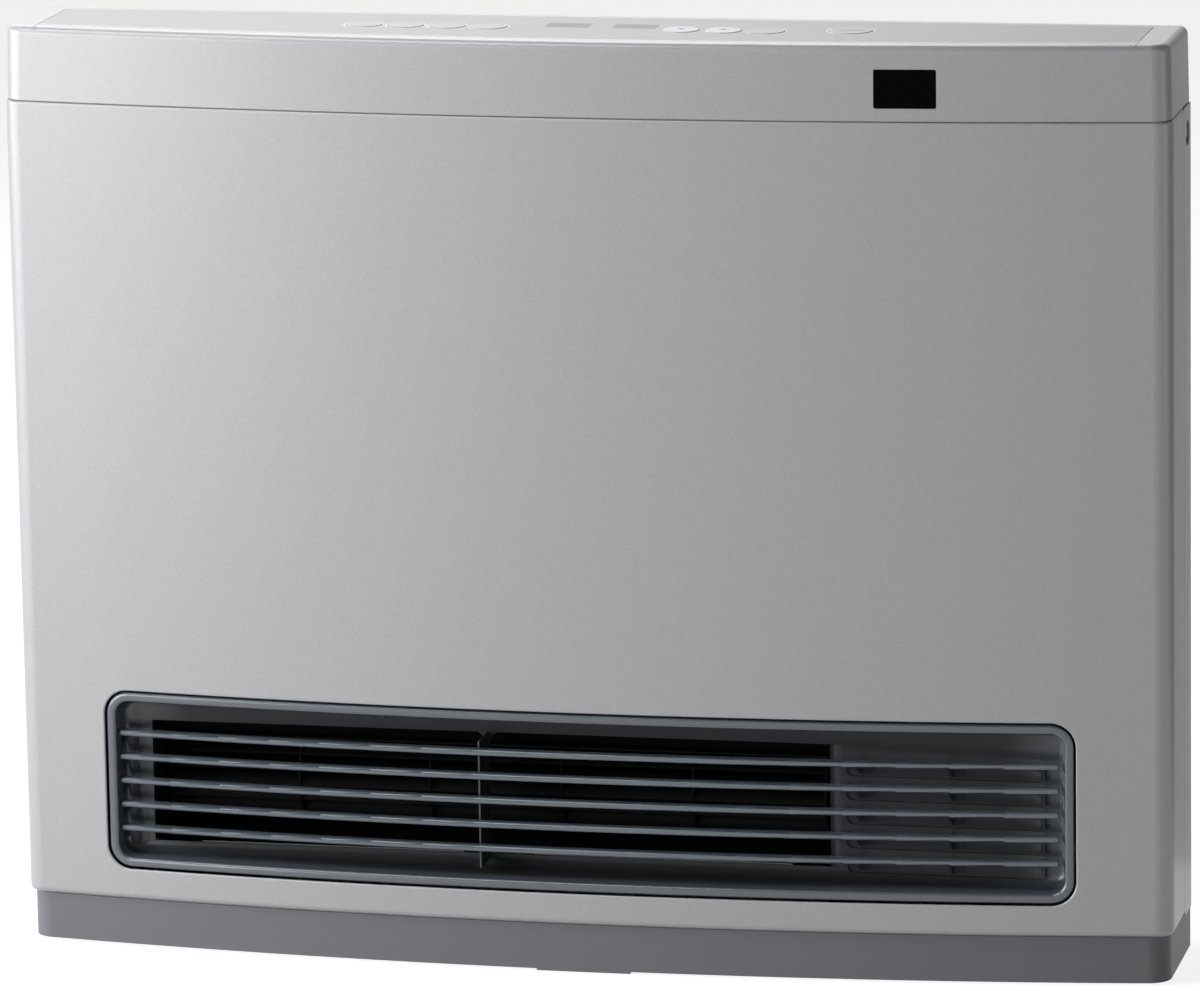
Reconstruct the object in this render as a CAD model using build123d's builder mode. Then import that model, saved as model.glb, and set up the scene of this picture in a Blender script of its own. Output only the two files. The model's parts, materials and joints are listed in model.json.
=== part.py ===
from build123d import *
import os
from math import cos, radians, sin, sqrt, tan

os.makedirs("parts", exist_ok=True)

# Frame: millimetres, +Z up, -Y towards the room, origin at the floor
# in the middle of the heater's width and depth.

# Cabinet
WIDTH = 750.0
HEIGHT = 600.0
BOW = 27.7
SIDE_DEPTH = 85.8
REAR_DEPTH = 40.0
INLET_REACH = 18.0
CORNER_RADIUS = 12.5
SHEET = 1.2
FLANGE = 12.0
RETURN_DEPTH = 54.3
RETURN_GAP = 0.6
PANEL_LOWER_ROUND = 4.0
PANEL_UPPER_ROUND = 1.5
WINDOW_EDGE = 1.0

# Plinth, base pan and feet
PLINTH_LIFT = 2.0
PLINTH_HEIGHT = 30.0
PLINTH_INSET = 2.5
PLINTH_WALL = 2.5
PLINTH_LEDGE = 12.0
PLINTH_TAIL = 10.0
PAD_WIDTH = 61.0
PAD_DROP = 1.2
FOOT_HEIGHT = 4.0
FOOT_RADIUS = 12.0
FOOT_SPAN_X = 620.0
FOOT_SPAN_Y = 70.0
PAN_SHEET = 1.5
PAN_RIM = 14.0
SEAT_GAP = 0.3

# Top cover
SEAM_HEIGHT = 552.0
SEAM_GAP = 0.8
COVER_INSET = 0.9
COVER_WALL = 2.5
COVER_DRAFT = 1.2
COVER_ROUND = 5.0
COVER_BACK_ROUND = 3.0
COVER_LIP = 2.5
COVER_LIP_INSET = 3.2
COVER_LIP_HEIGHT = 6.0
OVERLAY_THICKNESS = 0.3
OVERLAY_HALF_WIDTH = 353.0
OVERLAY_FRONT_INSET = 16.0
OVERLAY_BACK_INSET = 9.0
OVERLAY_FIT = 0.1

# Keys, windows and indicators on the top
KEY_ROW = -26.6
KEY_RADIUS = 12.0
POWER_KEY_RADIUS = 14.25
POWER_KEY_X = 167.3
POWER_KEY_Y = -18.7
MODE_KEY_FIRST_X = -144.6
MODE_KEY_PITCH = 27.1
DOWN_KEY_X = 60.1
UP_KEY_X = 87.3
TIMER_KEY_X = 115.0
KEY_FIT = 0.3
KEY_RISE = 0.4
KEY_EDGE = 0.35
KEY_TRAVEL = 0.8
KEY_STOP_GAP = 0.05
KEY_FLANGE = 1.5
KEY_SHOULDER = 1.0
KEY_STEM_RADIUS = 2.5
LCD_ROW = -16.1
LCD_CENTRES = (-14.1, 29.2)
LCD_WIDTH = 28.0
LCD_DEPTH = 17.0
LED_CENTRES = ((-44.5, -13.0), (-44.5, -19.0), (130.5, -9.0))
LED_RADIUS = 1.5
DISPLAY_X = 211.4
DISPLAY_Z = 572.9
DISPLAY_WIDTH = 39.0
DISPLAY_HEIGHT = 24.5
DISPLAY_CORNER = 1.2
WINDOW_FIT = 0.15
WINDOW_RIM = 2.0
WINDOW_FLANGE = 1.2

# Key board
BOARD_DROP = 11.0
BOARD_THICKNESS = 1.6
BOARD_LEFT = -165.0
BOARD_RIGHT = 190.0
BOARD_FRONT = -42.0
BOARD_BACK = -2.0
BOARD_POST_RADIUS = 3.0
BOARD_POST_INSET = 5.0
SWITCH_SIZE = 6.0
SWITCH_BODY = 3.5
SWITCH_BUTTON = 1.5

# Outlet tray
TRAY_X = -1.0
TRAY_Z = 111.6
TRAY_WIDTH = 630.0
TRAY_HEIGHT = 116.0
TRAY_CORNER = 15.0
TRAY_RIM = 6.0
TRAY_ROUND = 2.2
TRAY_BLEND = 7.0
TRAY_SETBACK = 0.5
TRAY_DEPTH = 42.0
TRAY_WALL = 2.5
TRAY_DRAFT = 0.5
TRAY_GAP = 1.2
MOUTH_LEFT = -291.0
MOUTH_RIGHT = 153.0
MOUTH_BOTTOM = 64.0
MOUTH_TOP = 147.0
MOUTH_ROLL = 10.0
ROLL_WALL = 3.0
POCKET_DEPTH = 1.2
POCKET_RIB = 3.0
POCKET_CORNER = 4.0
POCKET_LEFT = 165.0
POCKET_RIGHT = 296.0
SIDE_POCKET_LEFT = -307.0
SIDE_POCKET_RIGHT = -294.5
BOSS_RADIUS = 2.8
BOSS_HEIGHT = 0.8
BOSS_XS = (178.5, 237.3, 287.2)
SLOT_WIDTH = 1.8
SLOT_HEIGHT = 6.5

# Outlet blades and stay
BLADE_COUNT = 5
BLADE_TOP = 141.0
BLADE_PITCH = 15.75
BLADE_THICKNESS = 4.0
BLADE_DEPTH = 6.5
BLADE_SETBACK = 6.0
BLADE_LEFT = -309.0
BLADE_RIGHT = 303.0
BLADE_ROUND = 1.6
LEG_XS = (-302.0, 173.5, 232.3, 292.2)
LEG_THICKNESS = 1.4
LEG_ROOT = 1.2
LEG_DROP = 9.5
LEG_HEIGHT = 6.0
LEG_TENON = 1.5
STAY_X = -68.5
STAY_THICKNESS = 1.0
STAY_FLARE = 6.5
STAY_FLARE_DROP = 3.0
STAY_NECK = 2.8
STAY_NECK_DROP = 9.0
STAY_FOOT_LEFT = -87.0
STAY_FOOT_RIGHT = -39.0
STAY_FOOT_HEIGHT = 3.2
STAY_FOOT_SLOPE = 4.5
STAY_FOOT_PEAK = 7.0

# Cross-flow fan and its duct
DUCT_INSET = 1.0
FAN_SETBACK = 97.75
FAN_Z = 108.0
FAN_RADIUS = 38.0
FAN_BLADES = 22
FAN_BLADE_DEPTH = 8.5
FAN_BLADE_THICKNESS = 1.0
FAN_BLADE_LEAD = 11.0
FAN_BLADE_SAGITTA = 1.6
FAN_DISCS = 6
FAN_DISC = 1.2
FAN_END_GAP = 4.0
FAN_HUB_RADIUS = 9.0
FAN_HUB_LENGTH = 12.0
SHAFT_RADIUS = 4.0
SHAFT_FIT = 0.05
SHAFT_HOLE_RADIUS = 7.0
BEARING_RADIUS = 11.0
BEARING_FLANGE = 3.0
BEARING_LENGTH = 9.0
SCROLL_RADIUS = 46.0
SCROLL_START_RADIUS = 41.0
SCROLL_SHIFT = 2.0
SCROLL_MAIN_SWEEP = 80.0
SCROLL_START_SWEEP = 60.0
SCROLL_LEAD_RISE = 22.0
FLOOR_LIP = 3.0
FLOOR_LIP_SPANS = ((-260.0, -86.0), (-40.0, 129.0))
TONGUE_GAP = 4.0
TONGUE_ANGLE = 140.0
TONGUE_LENGTH = 12.0
END_PLATE_TOP = 198.0
END_FLANGE = 12.0

# Fan motor
MOTOR_GAP = 16.0
MOTOR_RADIUS = 36.0
MOTOR_LENGTH = 46.0
MOTOR_CHAMFER = 3.0
MOTOR_BOSS_RADIUS = 12.0
MOTOR_BOSS = 3.0
MOTOR_GRIP = 28.0
BRACKET_SHEET = 2.0
BRACKET_HALF = 42.0
BRACKET_FOOT = 24.0
MOTOR_SCREW_RADIUS = 30.0

# Burner chamber
CHAMBER_OVERHANG = 10.0
CHAMBER_FRONT = 47.0
CHAMBER_BACK = 124.0
CHAMBER_HEIGHT = 240.0
SHIELD_GAP = 5.0
SHIELD_HEIGHT = 310.0
BURNER_COUNT = 8
BURNER_WIDTH = 10.0
BURNER_DEPTH = 50.0
BURNER_DROP = 40.0
BURNER_RISE = 14.0
BURNER_PITCH = 50.0
BURNER_LIP = 2.0
BURNER_LIP_HEIGHT = 2.0
BURNER_MOUTH_RADIUS = 3.6
BURNER_PORTS = 4
EXIT_COUNT = 6
EXIT_WIDTH = 56.0
EXIT_HEIGHT = 26.0
EXIT_DROP = 24.0
MANIFOLD_RADIUS = 6.0
MANIFOLD_Z = 172.0
MANIFOLD_GAP = 3.0
MANIFOLD_REACH = 60.0

# Gas inlet and valve
INLET_X = 250.0
INLET_Z = 56.0
INLET_RADIUS = 10.48
INLET_HEX = 13.5
INLET_HEX_DEPTH = 4.0
INLET_INNER = 32.0
INLET_CHAMFER = 1.5
VALVE_WIDTH = 60.0
VALVE_DEPTH = 40.0
VALVE_BOTTOM = 150.0
VALVE_HEIGHT = 66.0
COIL_RADIUS = 12.0
COIL_HEIGHT = 30.0
PIPE_RADIUS = 6.0

# Electric parts
TRAY_BOARD_LEFT = 200.0
TRAY_BOARD_RIGHT = 346.0
TRAY_BOARD_BOTTOM = 300.0
TRAY_BOARD_TOP = 470.0
TRAY_BOARD_WALL = 3.0
TRAY_BOARD_RIM = 10.0
TRAY_BOARD_POST = 8.0
GLAND_X = 320.0
GLAND_Z = 56.0
GLAND_RADIUS = 8.0
GLAND_BORE = 4.1
GLAND_FLANGE = 3.0
GLAND_INNER = 8.0
TRANSFORMER_X = 310.0
TRANSFORMER_SETBACK = 55.0
TRANSFORMER_WIDTH = 50.0
TRANSFORMER_DEPTH = 42.0
TRANSFORMER_HEIGHT = 40.0
TRANSFORMER_COIL = 36.0
IGNITER_X = -328.0
IGNITER_WIDTH = 34.0
IGNITER_DEPTH = 48.0
IGNITER_HEIGHT = 30.0
SWITCH_DROP = 60.0
SWITCH_DISC_RADIUS = 8.0
THERMISTOR_X = -345.0
THERMISTOR_Z = 420.0
THERMISTOR_CLIP = 9.0
THERMISTOR_BEAD = 2.0
RELAY_WIDTH = 28.0
RELAY_HEIGHT = 20.0
CAPACITOR_RADIUS = 11.0
COMPONENT_RISE = 16.0
ROD_RADIUS = 3.0
ROD_COLLAR = 5.0
ROD_TIP_RADIUS = 0.8

# Rear case
BOX_HALF_WIDTH = 360.0
BOX_TOP = 546.0
FILTER_WIDTH = 250.0
FILTER_HEIGHT = 350.0
FILTER_BOTTOM = 130.0
FILTER_THICKNESS = 5.0
FILTER_CENTRES = (-205.0, 62.0)
FILTER_FIT = 0.3
FILTER_FRAME = 9.0
FILTER_RIB = 3.0
FILTER_MESH = 0.8
FILTER_TAB = 40.0
RAIL_WALL = 2.0
RAIL_LIP = 6.0
GRILLE_COLUMNS = 4
GRILLE_ROWS = 13
GRILLE_SLOT_WIDTH = 46.0
GRILLE_SLOT_HEIGHT = 11.0
GRILLE_PITCH_X = 56.0
GRILLE_PITCH_Z = 25.0
RECESS_RADIUS = 8.0
RECESS_DEPTH = 3.0
RECESS_Z = 534.6
RECESS_FROM_BACK = 16.0
SCREW_RADIUS = 3.6
SCREW_HEAD = 2.2
BACK_SCREW_XS = (-343.0, 343.0)
BACK_SCREW_ZS = (30.0, 280.0, 530.0)

# Worked out from the sizes above
DEPTH = BOW + SIDE_DEPTH + REAR_DEPTH + INLET_REACH
NOSE = -DEPTH / 2
BACK = NOSE + BOW + SIDE_DEPTH
REAR = BACK + REAR_DEPTH
RETURN_EDGE = NOSE + BOW + RETURN_DEPTH
BOW_RADIUS = (BOW**2 + (WIDTH / 2) ** 2) / (2 * BOW)
BOW_CENTRE = NOSE + BOW_RADIUS
PANEL_BOTTOM = PLINTH_LIFT + PLINTH_HEIGHT
COVER_BOTTOM = SEAM_HEIGHT + SEAM_GAP
PAN_TOP = FOOT_HEIGHT + PAN_SHEET
PAN_INSET = PLINTH_INSET + PLINTH_WALL + SEAT_GAP
TRAY_BACK = NOSE + TRAY_DEPTH
TRAY_FLOOR = TRAY_BACK - TRAY_WALL
ROLL_BACK = TRAY_FLOOR + MOUTH_ROLL
TRAY_SHRINK = TRAY_RIM + TRAY_DEPTH * sin(radians(TRAY_DRAFT))
DUCT_LEFT = MOUTH_LEFT + DUCT_INSET
DUCT_RIGHT = MOUTH_RIGHT - DUCT_INSET
FAN_Y = NOSE + FAN_SETBACK
REAR_INSIDE = REAR - SHEET
OVERLAY_TOP = HEIGHT
COVER_UNDERSIDE = HEIGHT - COVER_WALL
BOARD_TOP = COVER_UNDERSIDE - BOARD_DROP
PLENUM_FRONT = NOSE + CHAMBER_FRONT
PLENUM_BACK = NOSE + CHAMBER_BACK
TRANSFORMER_FRONT = NOSE + TRANSFORMER_SETBACK


def front_plane(y):
    """Upright plane that faces the room, with X to the right and Z up."""
    return Plane(origin=(0, y, 0), x_dir=(1, 0, 0), z_dir=(0, -1, 0))


def side_plane(x):
    """Upright plane that faces +X, with Y to the right and Z up."""
    return Plane(origin=(x, 0, 0), x_dir=(0, 1, 0), z_dir=(1, 0, 0))


def level(z):
    """Level plane at a height."""
    return Plane.XY.offset(z)


def bow_y(x, inset=0.0):
    """Y of the bowed front at x, moved inwards by an inset."""
    return BOW_CENTRE - sqrt((BOW_RADIUS - inset) ** 2 - x**2)


def bowed_outline(inset, back, corner):
    """Plan with a bowed front, rounded front corners, straight sides and back."""
    half = WIDTH / 2 - inset
    edge_y = bow_y(half, inset)
    with BuildLine() as outline:
        ThreePointArc((-half, edge_y), (0, bow_y(0, inset)), (half, edge_y))
        Polyline((half, edge_y), (half, back), (-half, back), (-half, edge_y))
    make_face(outline.edges())
    fillet(vertices().sort_by(Axis.Y)[:2], corner)


def bowed_band(left, right, inset, depth):
    """Plan of a strip that follows the bow between two x positions."""
    middle = (left + right) / 2
    far = inset + depth
    with BuildLine() as outline:
        ThreePointArc((left, bow_y(left, inset)), (middle, bow_y(middle, inset)),
                      (right, bow_y(right, inset)))
        Line((right, bow_y(right, inset)), (right, bow_y(right, far)))
        ThreePointArc((right, bow_y(right, far)), (middle, bow_y(middle, far)),
                      (left, bow_y(left, far)))
        Line((left, bow_y(left, far)), (left, bow_y(left, inset)))
    make_face(outline.edges())


def box_between(low, high, mode=Mode.ADD):
    """Block given by its lowest and highest corners."""
    sizes = [b - a for a, b in zip(low, high)]
    middle = [(a + b) / 2 for a, b in zip(low, high)]
    with Locations(tuple(middle)):
        return Box(*sizes, mode=mode)


def save(piece, name):
    """Label a finished piece and write it."""
    piece.part.label = name
    export_step(piece.part, f"parts/{name}.step")


# Front panel
def panel_block(inset):
    """Solid block of the front panel's shape, smaller all round by an inset."""
    with BuildPart(mode=Mode.PRIVATE) as block:
        with BuildSketch(level(PANEL_BOTTOM + inset)):
            bowed_outline(inset, RETURN_EDGE + inset, CORNER_RADIUS - inset)
        extrude(amount=SEAM_HEIGHT - PANEL_BOTTOM - 2 * inset)
        lower = block.edges().group_by(Axis.Z)[0].sort_by(Axis.Y)[:-1]
        fillet(lower, PANEL_LOWER_ROUND - inset)
        upper = block.edges().group_by(Axis.Z)[-1].sort_by(Axis.Y)[:-1]
        fillet(upper, PANEL_UPPER_ROUND - inset)
    return block.part


panel_outside = panel_block(0)
panel_inside = panel_block(SHEET)

with BuildPart() as front_panel:
    add(panel_outside)
    add(panel_inside, mode=Mode.SUBTRACT)
    with BuildSketch(level(PANEL_BOTTOM)):
        bowed_outline(FLANGE, RETURN_EDGE + FLANGE, CORNER_RADIUS)
    extrude(amount=SEAM_HEIGHT - PANEL_BOTTOM, mode=Mode.SUBTRACT)
    with BuildSketch(front_plane(NOSE + TRAY_DEPTH)):
        with Locations((TRAY_X, TRAY_Z)):
            RectangleRounded(TRAY_WIDTH + 2 * TRAY_GAP, TRAY_HEIGHT + 2 * TRAY_GAP,
                             TRAY_CORNER + TRAY_GAP)
    extrude(amount=TRAY_DEPTH + TRAY_WALL, mode=Mode.SUBTRACT)
    face_front = front_panel.faces().filter_by(GeomType.CYLINDER).sort_by(Axis.Y)[0]
    fillet(face_front.inner_wires()[0].edges(), WINDOW_EDGE)
save(front_panel, "front_panel")


# Top cover
def cover_block(inset):
    """Solid block of the cover's shape, drawn in towards the top."""
    with BuildPart(mode=Mode.PRIVATE) as block:
        lean = (HEIGHT - inset - COVER_BOTTOM) * tan(radians(COVER_DRAFT))
        with BuildSketch(level(COVER_BOTTOM)):
            bowed_outline(COVER_INSET + inset, BACK - inset, CORNER_RADIUS - inset)
        with BuildSketch(level(HEIGHT - inset)):
            bowed_outline(COVER_INSET + inset + lean, BACK - inset, CORNER_RADIUS - inset)
        loft(ruled=True)
        top_edges = block.edges().group_by(Axis.Z)[-1].sort_by(Axis.Y)
        fillet(top_edges[:-1], COVER_ROUND - inset)
        fillet(block.edges().group_by(Axis.Z)[-1].sort_by(Axis.Y)[-1], COVER_BACK_ROUND - inset / 2)
    return block.part


cover_outside = cover_block(0)
cover_inside = cover_block(COVER_WALL)


def key_positions():
    """Name, x, y and radius of each key's hole."""
    rows = [(f"mode_key_{n + 1}", MODE_KEY_FIRST_X + n * MODE_KEY_PITCH, KEY_ROW, KEY_RADIUS)
            for n in range(4)]
    rows.append(("down_key", DOWN_KEY_X, KEY_ROW, KEY_RADIUS))
    rows.append(("up_key", UP_KEY_X, KEY_ROW, KEY_RADIUS))
    rows.append(("timer_key", TIMER_KEY_X, KEY_ROW, KEY_RADIUS))
    rows.append(("power_key", POWER_KEY_X, POWER_KEY_Y, POWER_KEY_RADIUS))
    return rows


def top_holes():
    """Outlines of every hole in the top: keys, windows and indicators."""
    for _, x, y, radius in key_positions():
        with Locations((x, y)):
            Circle(radius)
    for x in LCD_CENTRES:
        with Locations((x, LCD_ROW)):
            Rectangle(LCD_WIDTH, LCD_DEPTH)
    for x, y in LED_CENTRES:
        with Locations((x, y)):
            Circle(LED_RADIUS)


def overlay_outline(fit):
    """Plan of the film on the top, smaller all round by a fit."""
    half = OVERLAY_HALF_WIDTH - fit
    front = OVERLAY_FRONT_INSET + fit
    back = BACK - OVERLAY_BACK_INSET - fit
    with BuildLine() as outline:
        ThreePointArc((-half, bow_y(half, front)), (0, bow_y(0, front)), (half, bow_y(half, front)))
        Polyline((half, bow_y(half, front)), (half, back), (-half, back), (-half, bow_y(half, front)))
    make_face(outline.edges())


def board_corners():
    """Plan positions of the posts that carry the key board."""
    return [(x, y) for x in (BOARD_LEFT + BOARD_POST_INSET, BOARD_RIGHT - BOARD_POST_INSET)
            for y in (BOARD_FRONT + BOARD_POST_INSET, BOARD_BACK - BOARD_POST_INSET)]


with BuildPart() as top_cover:
    add(cover_outside)
    add(cover_inside, mode=Mode.SUBTRACT)
    with BuildSketch(level(SEAM_HEIGHT)):
        bowed_outline(COVER_LIP_INSET, BACK - COVER_LIP_INSET, CORNER_RADIUS - COVER_LIP_INSET)
        with BuildSketch(mode=Mode.PRIVATE) as hollow:
            inner = COVER_LIP_INSET + COVER_LIP
            bowed_outline(inner, BACK - inner, CORNER_RADIUS - inner)
        add(hollow.sketch, mode=Mode.SUBTRACT)
    extrude(amount=COVER_LIP_HEIGHT)
    with BuildSketch(level(OVERLAY_TOP - OVERLAY_THICKNESS)):
        overlay_outline(0)
    extrude(amount=OVERLAY_THICKNESS, mode=Mode.SUBTRACT)
    with BuildSketch(level(COVER_UNDERSIDE)):
        top_holes()
    extrude(amount=COVER_WALL, mode=Mode.SUBTRACT)
    with BuildSketch(front_plane(NOSE + BOW)):
        with Locations((DISPLAY_X, DISPLAY_Z)):
            RectangleRounded(DISPLAY_WIDTH, DISPLAY_HEIGHT, DISPLAY_CORNER)
    extrude(amount=BOW, mode=Mode.SUBTRACT)
    with BuildSketch(level(BOARD_TOP)):
        with Locations(*board_corners()):
            Circle(BOARD_POST_RADIUS)
    extrude(amount=BOARD_DROP)
save(top_cover, "top_cover")

with BuildPart() as control_overlay:
    with BuildSketch(level(OVERLAY_TOP - OVERLAY_THICKNESS)):
        overlay_outline(OVERLAY_FIT)
        with BuildSketch(mode=Mode.PRIVATE) as holes:
            top_holes()
        add(holes.sketch, mode=Mode.SUBTRACT)
    extrude(amount=OVERLAY_THICKNESS)
save(control_overlay, "control_overlay")


# Keys
SWITCH_TOP = BOARD_TOP + SWITCH_BODY + SWITCH_BUTTON
KEY_FLANGE_TOP = COVER_UNDERSIDE - SEAT_GAP


def make_key(x, y, radius):
    """Round key: a cap in its hole, a flange under the cover and a stem."""
    with BuildPart() as key:
        with BuildSketch(level(KEY_FLANGE_TOP)):
            with Locations((x, y)):
                Circle(radius - KEY_FIT)
        extrude(amount=HEIGHT + KEY_RISE - KEY_FLANGE_TOP)
        chamfer(key.edges().group_by(Axis.Z)[-1], KEY_EDGE)
        with BuildSketch(level(KEY_FLANGE_TOP - KEY_FLANGE)):
            with Locations((x, y)):
                Circle(radius + KEY_SHOULDER)
        extrude(amount=KEY_FLANGE)
        stem_bottom = SWITCH_TOP + KEY_TRAVEL + KEY_STOP_GAP
        with BuildSketch(level(stem_bottom)):
            with Locations((x, y)):
                Circle(KEY_STEM_RADIUS)
        extrude(amount=KEY_FLANGE_TOP - KEY_FLANGE - stem_bottom)
    return key


for key_name, key_x, key_y, key_radius in key_positions():
    save(make_key(key_x, key_y, key_radius), key_name)


# Windows and indicators
with BuildPart() as lcd_windows:
    with BuildSketch(level(COVER_UNDERSIDE - WINDOW_FLANGE)):
        for lcd_x in LCD_CENTRES:
            with Locations((lcd_x, LCD_ROW)):
                Rectangle(LCD_WIDTH + 2 * WINDOW_RIM, LCD_DEPTH + 2 * WINDOW_RIM)
    extrude(amount=WINDOW_FLANGE)
    with BuildSketch(level(COVER_UNDERSIDE)):
        for lcd_x in LCD_CENTRES:
            with Locations((lcd_x, LCD_ROW)):
                Rectangle(LCD_WIDTH - 2 * WINDOW_FIT, LCD_DEPTH - 2 * WINDOW_FIT)
    extrude(amount=COVER_WALL)
save(lcd_windows, "lcd_windows")

with BuildPart() as indicator_leds:
    with BuildSketch(level(BOARD_TOP)):
        for led_x, led_y in LED_CENTRES:
            with Locations((led_x, led_y)):
                Circle(LED_RADIUS - WINDOW_FIT)
    extrude(amount=HEIGHT - BOARD_TOP)
save(indicator_leds, "indicator_leds")


display_blank = cover_block(SEAT_GAP)

with BuildPart() as display_window:
    with BuildSketch(front_plane(bow_y(DISPLAY_X, COVER_INSET + COVER_WALL) + WINDOW_RIM)):
        with Locations((DISPLAY_X, DISPLAY_Z)):
            RectangleRounded(DISPLAY_WIDTH - 2 * WINDOW_FIT, DISPLAY_HEIGHT - 2 * WINDOW_FIT,
                             DISPLAY_CORNER)
    extrude(amount=BOW)
    add(display_blank, mode=Mode.INTERSECT)
save(display_window, "display_window")

with BuildPart() as key_board:
    box_between((BOARD_LEFT, BOARD_FRONT, BOARD_TOP - BOARD_THICKNESS),
                (BOARD_RIGHT, BOARD_BACK, BOARD_TOP))
save(key_board, "key_board")

with BuildPart() as key_switches:
    for _, key_x, key_y, _ in key_positions():
        with BuildSketch(level(BOARD_TOP)):
            with Locations((key_x, key_y)):
                Rectangle(SWITCH_SIZE, SWITCH_SIZE)
        extrude(amount=SWITCH_BODY)
        with BuildSketch(level(BOARD_TOP + SWITCH_BODY)):
            with Locations((key_x, key_y)):
                Circle(SWITCH_SIZE / 3)
        extrude(amount=SWITCH_BUTTON)
save(key_switches, "key_switches")


# Plinth
def plinth_outline(inset, tail):
    """Plan of the plinth, smaller all round by an inset."""
    bowed_outline(PLINTH_INSET + inset, BACK + PLINTH_TAIL + tail,
                  CORNER_RADIUS + PLINTH_WALL - inset)


with BuildPart() as plinth:
    with BuildSketch(level(PLINTH_LIFT)):
        plinth_outline(0, 0)
    extrude(amount=PLINTH_HEIGHT)
    with BuildSketch(level(PLINTH_LIFT)):
        plinth_outline(PLINTH_WALL, PLINTH_WALL)
    extrude(amount=PLINTH_HEIGHT - PLINTH_WALL, mode=Mode.SUBTRACT)
    with BuildSketch(level(PANEL_BOTTOM - PLINTH_WALL)):
        plinth_outline(PLINTH_LEDGE, PLINTH_LEDGE)
    extrude(amount=PLINTH_WALL, mode=Mode.SUBTRACT)
    with BuildSketch(level(PLINTH_LIFT - PAD_DROP)):
        bowed_band(-PAD_WIDTH / 2, PAD_WIDTH / 2, PLINTH_INSET, PLINTH_WALL)
    extrude(amount=PAD_DROP)
save(plinth, "plinth")

# Base pan and feet
PAN_SHOULDER = BACK - SHEET - SEAT_GAP
PAN_BACK = REAR_INSIDE - SEAT_GAP
PAN_HALF = BOX_HALF_WIDTH - SHEET - SEAT_GAP


def pan_outline(inset):
    """Plan of the base pan: wide behind the plinth, narrower in the rear case."""
    bowed_outline(PAN_INSET + inset, PAN_SHOULDER - inset, CORNER_RADIUS - inset)
    half = PAN_HALF - inset
    with BuildLine() as tail:
        Polyline((-half, 0), (half, 0), (half, PAN_BACK - inset), (-half, PAN_BACK - inset),
                 (-half, 0))
    make_face(tail.edges())


with BuildPart() as base_pan:
    with BuildSketch(level(FOOT_HEIGHT)):
        pan_outline(0)
    extrude(amount=PAN_RIM)
    with BuildSketch(level(PAN_TOP)):
        pan_outline(PAN_SHEET)
    extrude(amount=PAN_RIM, mode=Mode.SUBTRACT)
save(base_pan, "base_pan")

with BuildPart() as feet:
    with BuildSketch(Plane.XY):
        with GridLocations(FOOT_SPAN_X, FOOT_SPAN_Y, 2, 2):
            Circle(FOOT_RADIUS)
    extrude(amount=FOOT_HEIGHT, taper=8)
save(feet, "feet")


# Outlet tray
def blade_z(index):
    """Height of a blade's middle, counted from the top."""
    return BLADE_TOP - index * BLADE_PITCH


def pocket_rows():
    """Bottom and top of each pocket, one under each blade."""
    rows = []
    for index in range(BLADE_COUNT):
        top = blade_z(index) - POCKET_RIB / 2
        rows.append((top - BLADE_PITCH + POCKET_RIB, top))
    return rows


tray_front = panel_block(TRAY_SETBACK)

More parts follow.
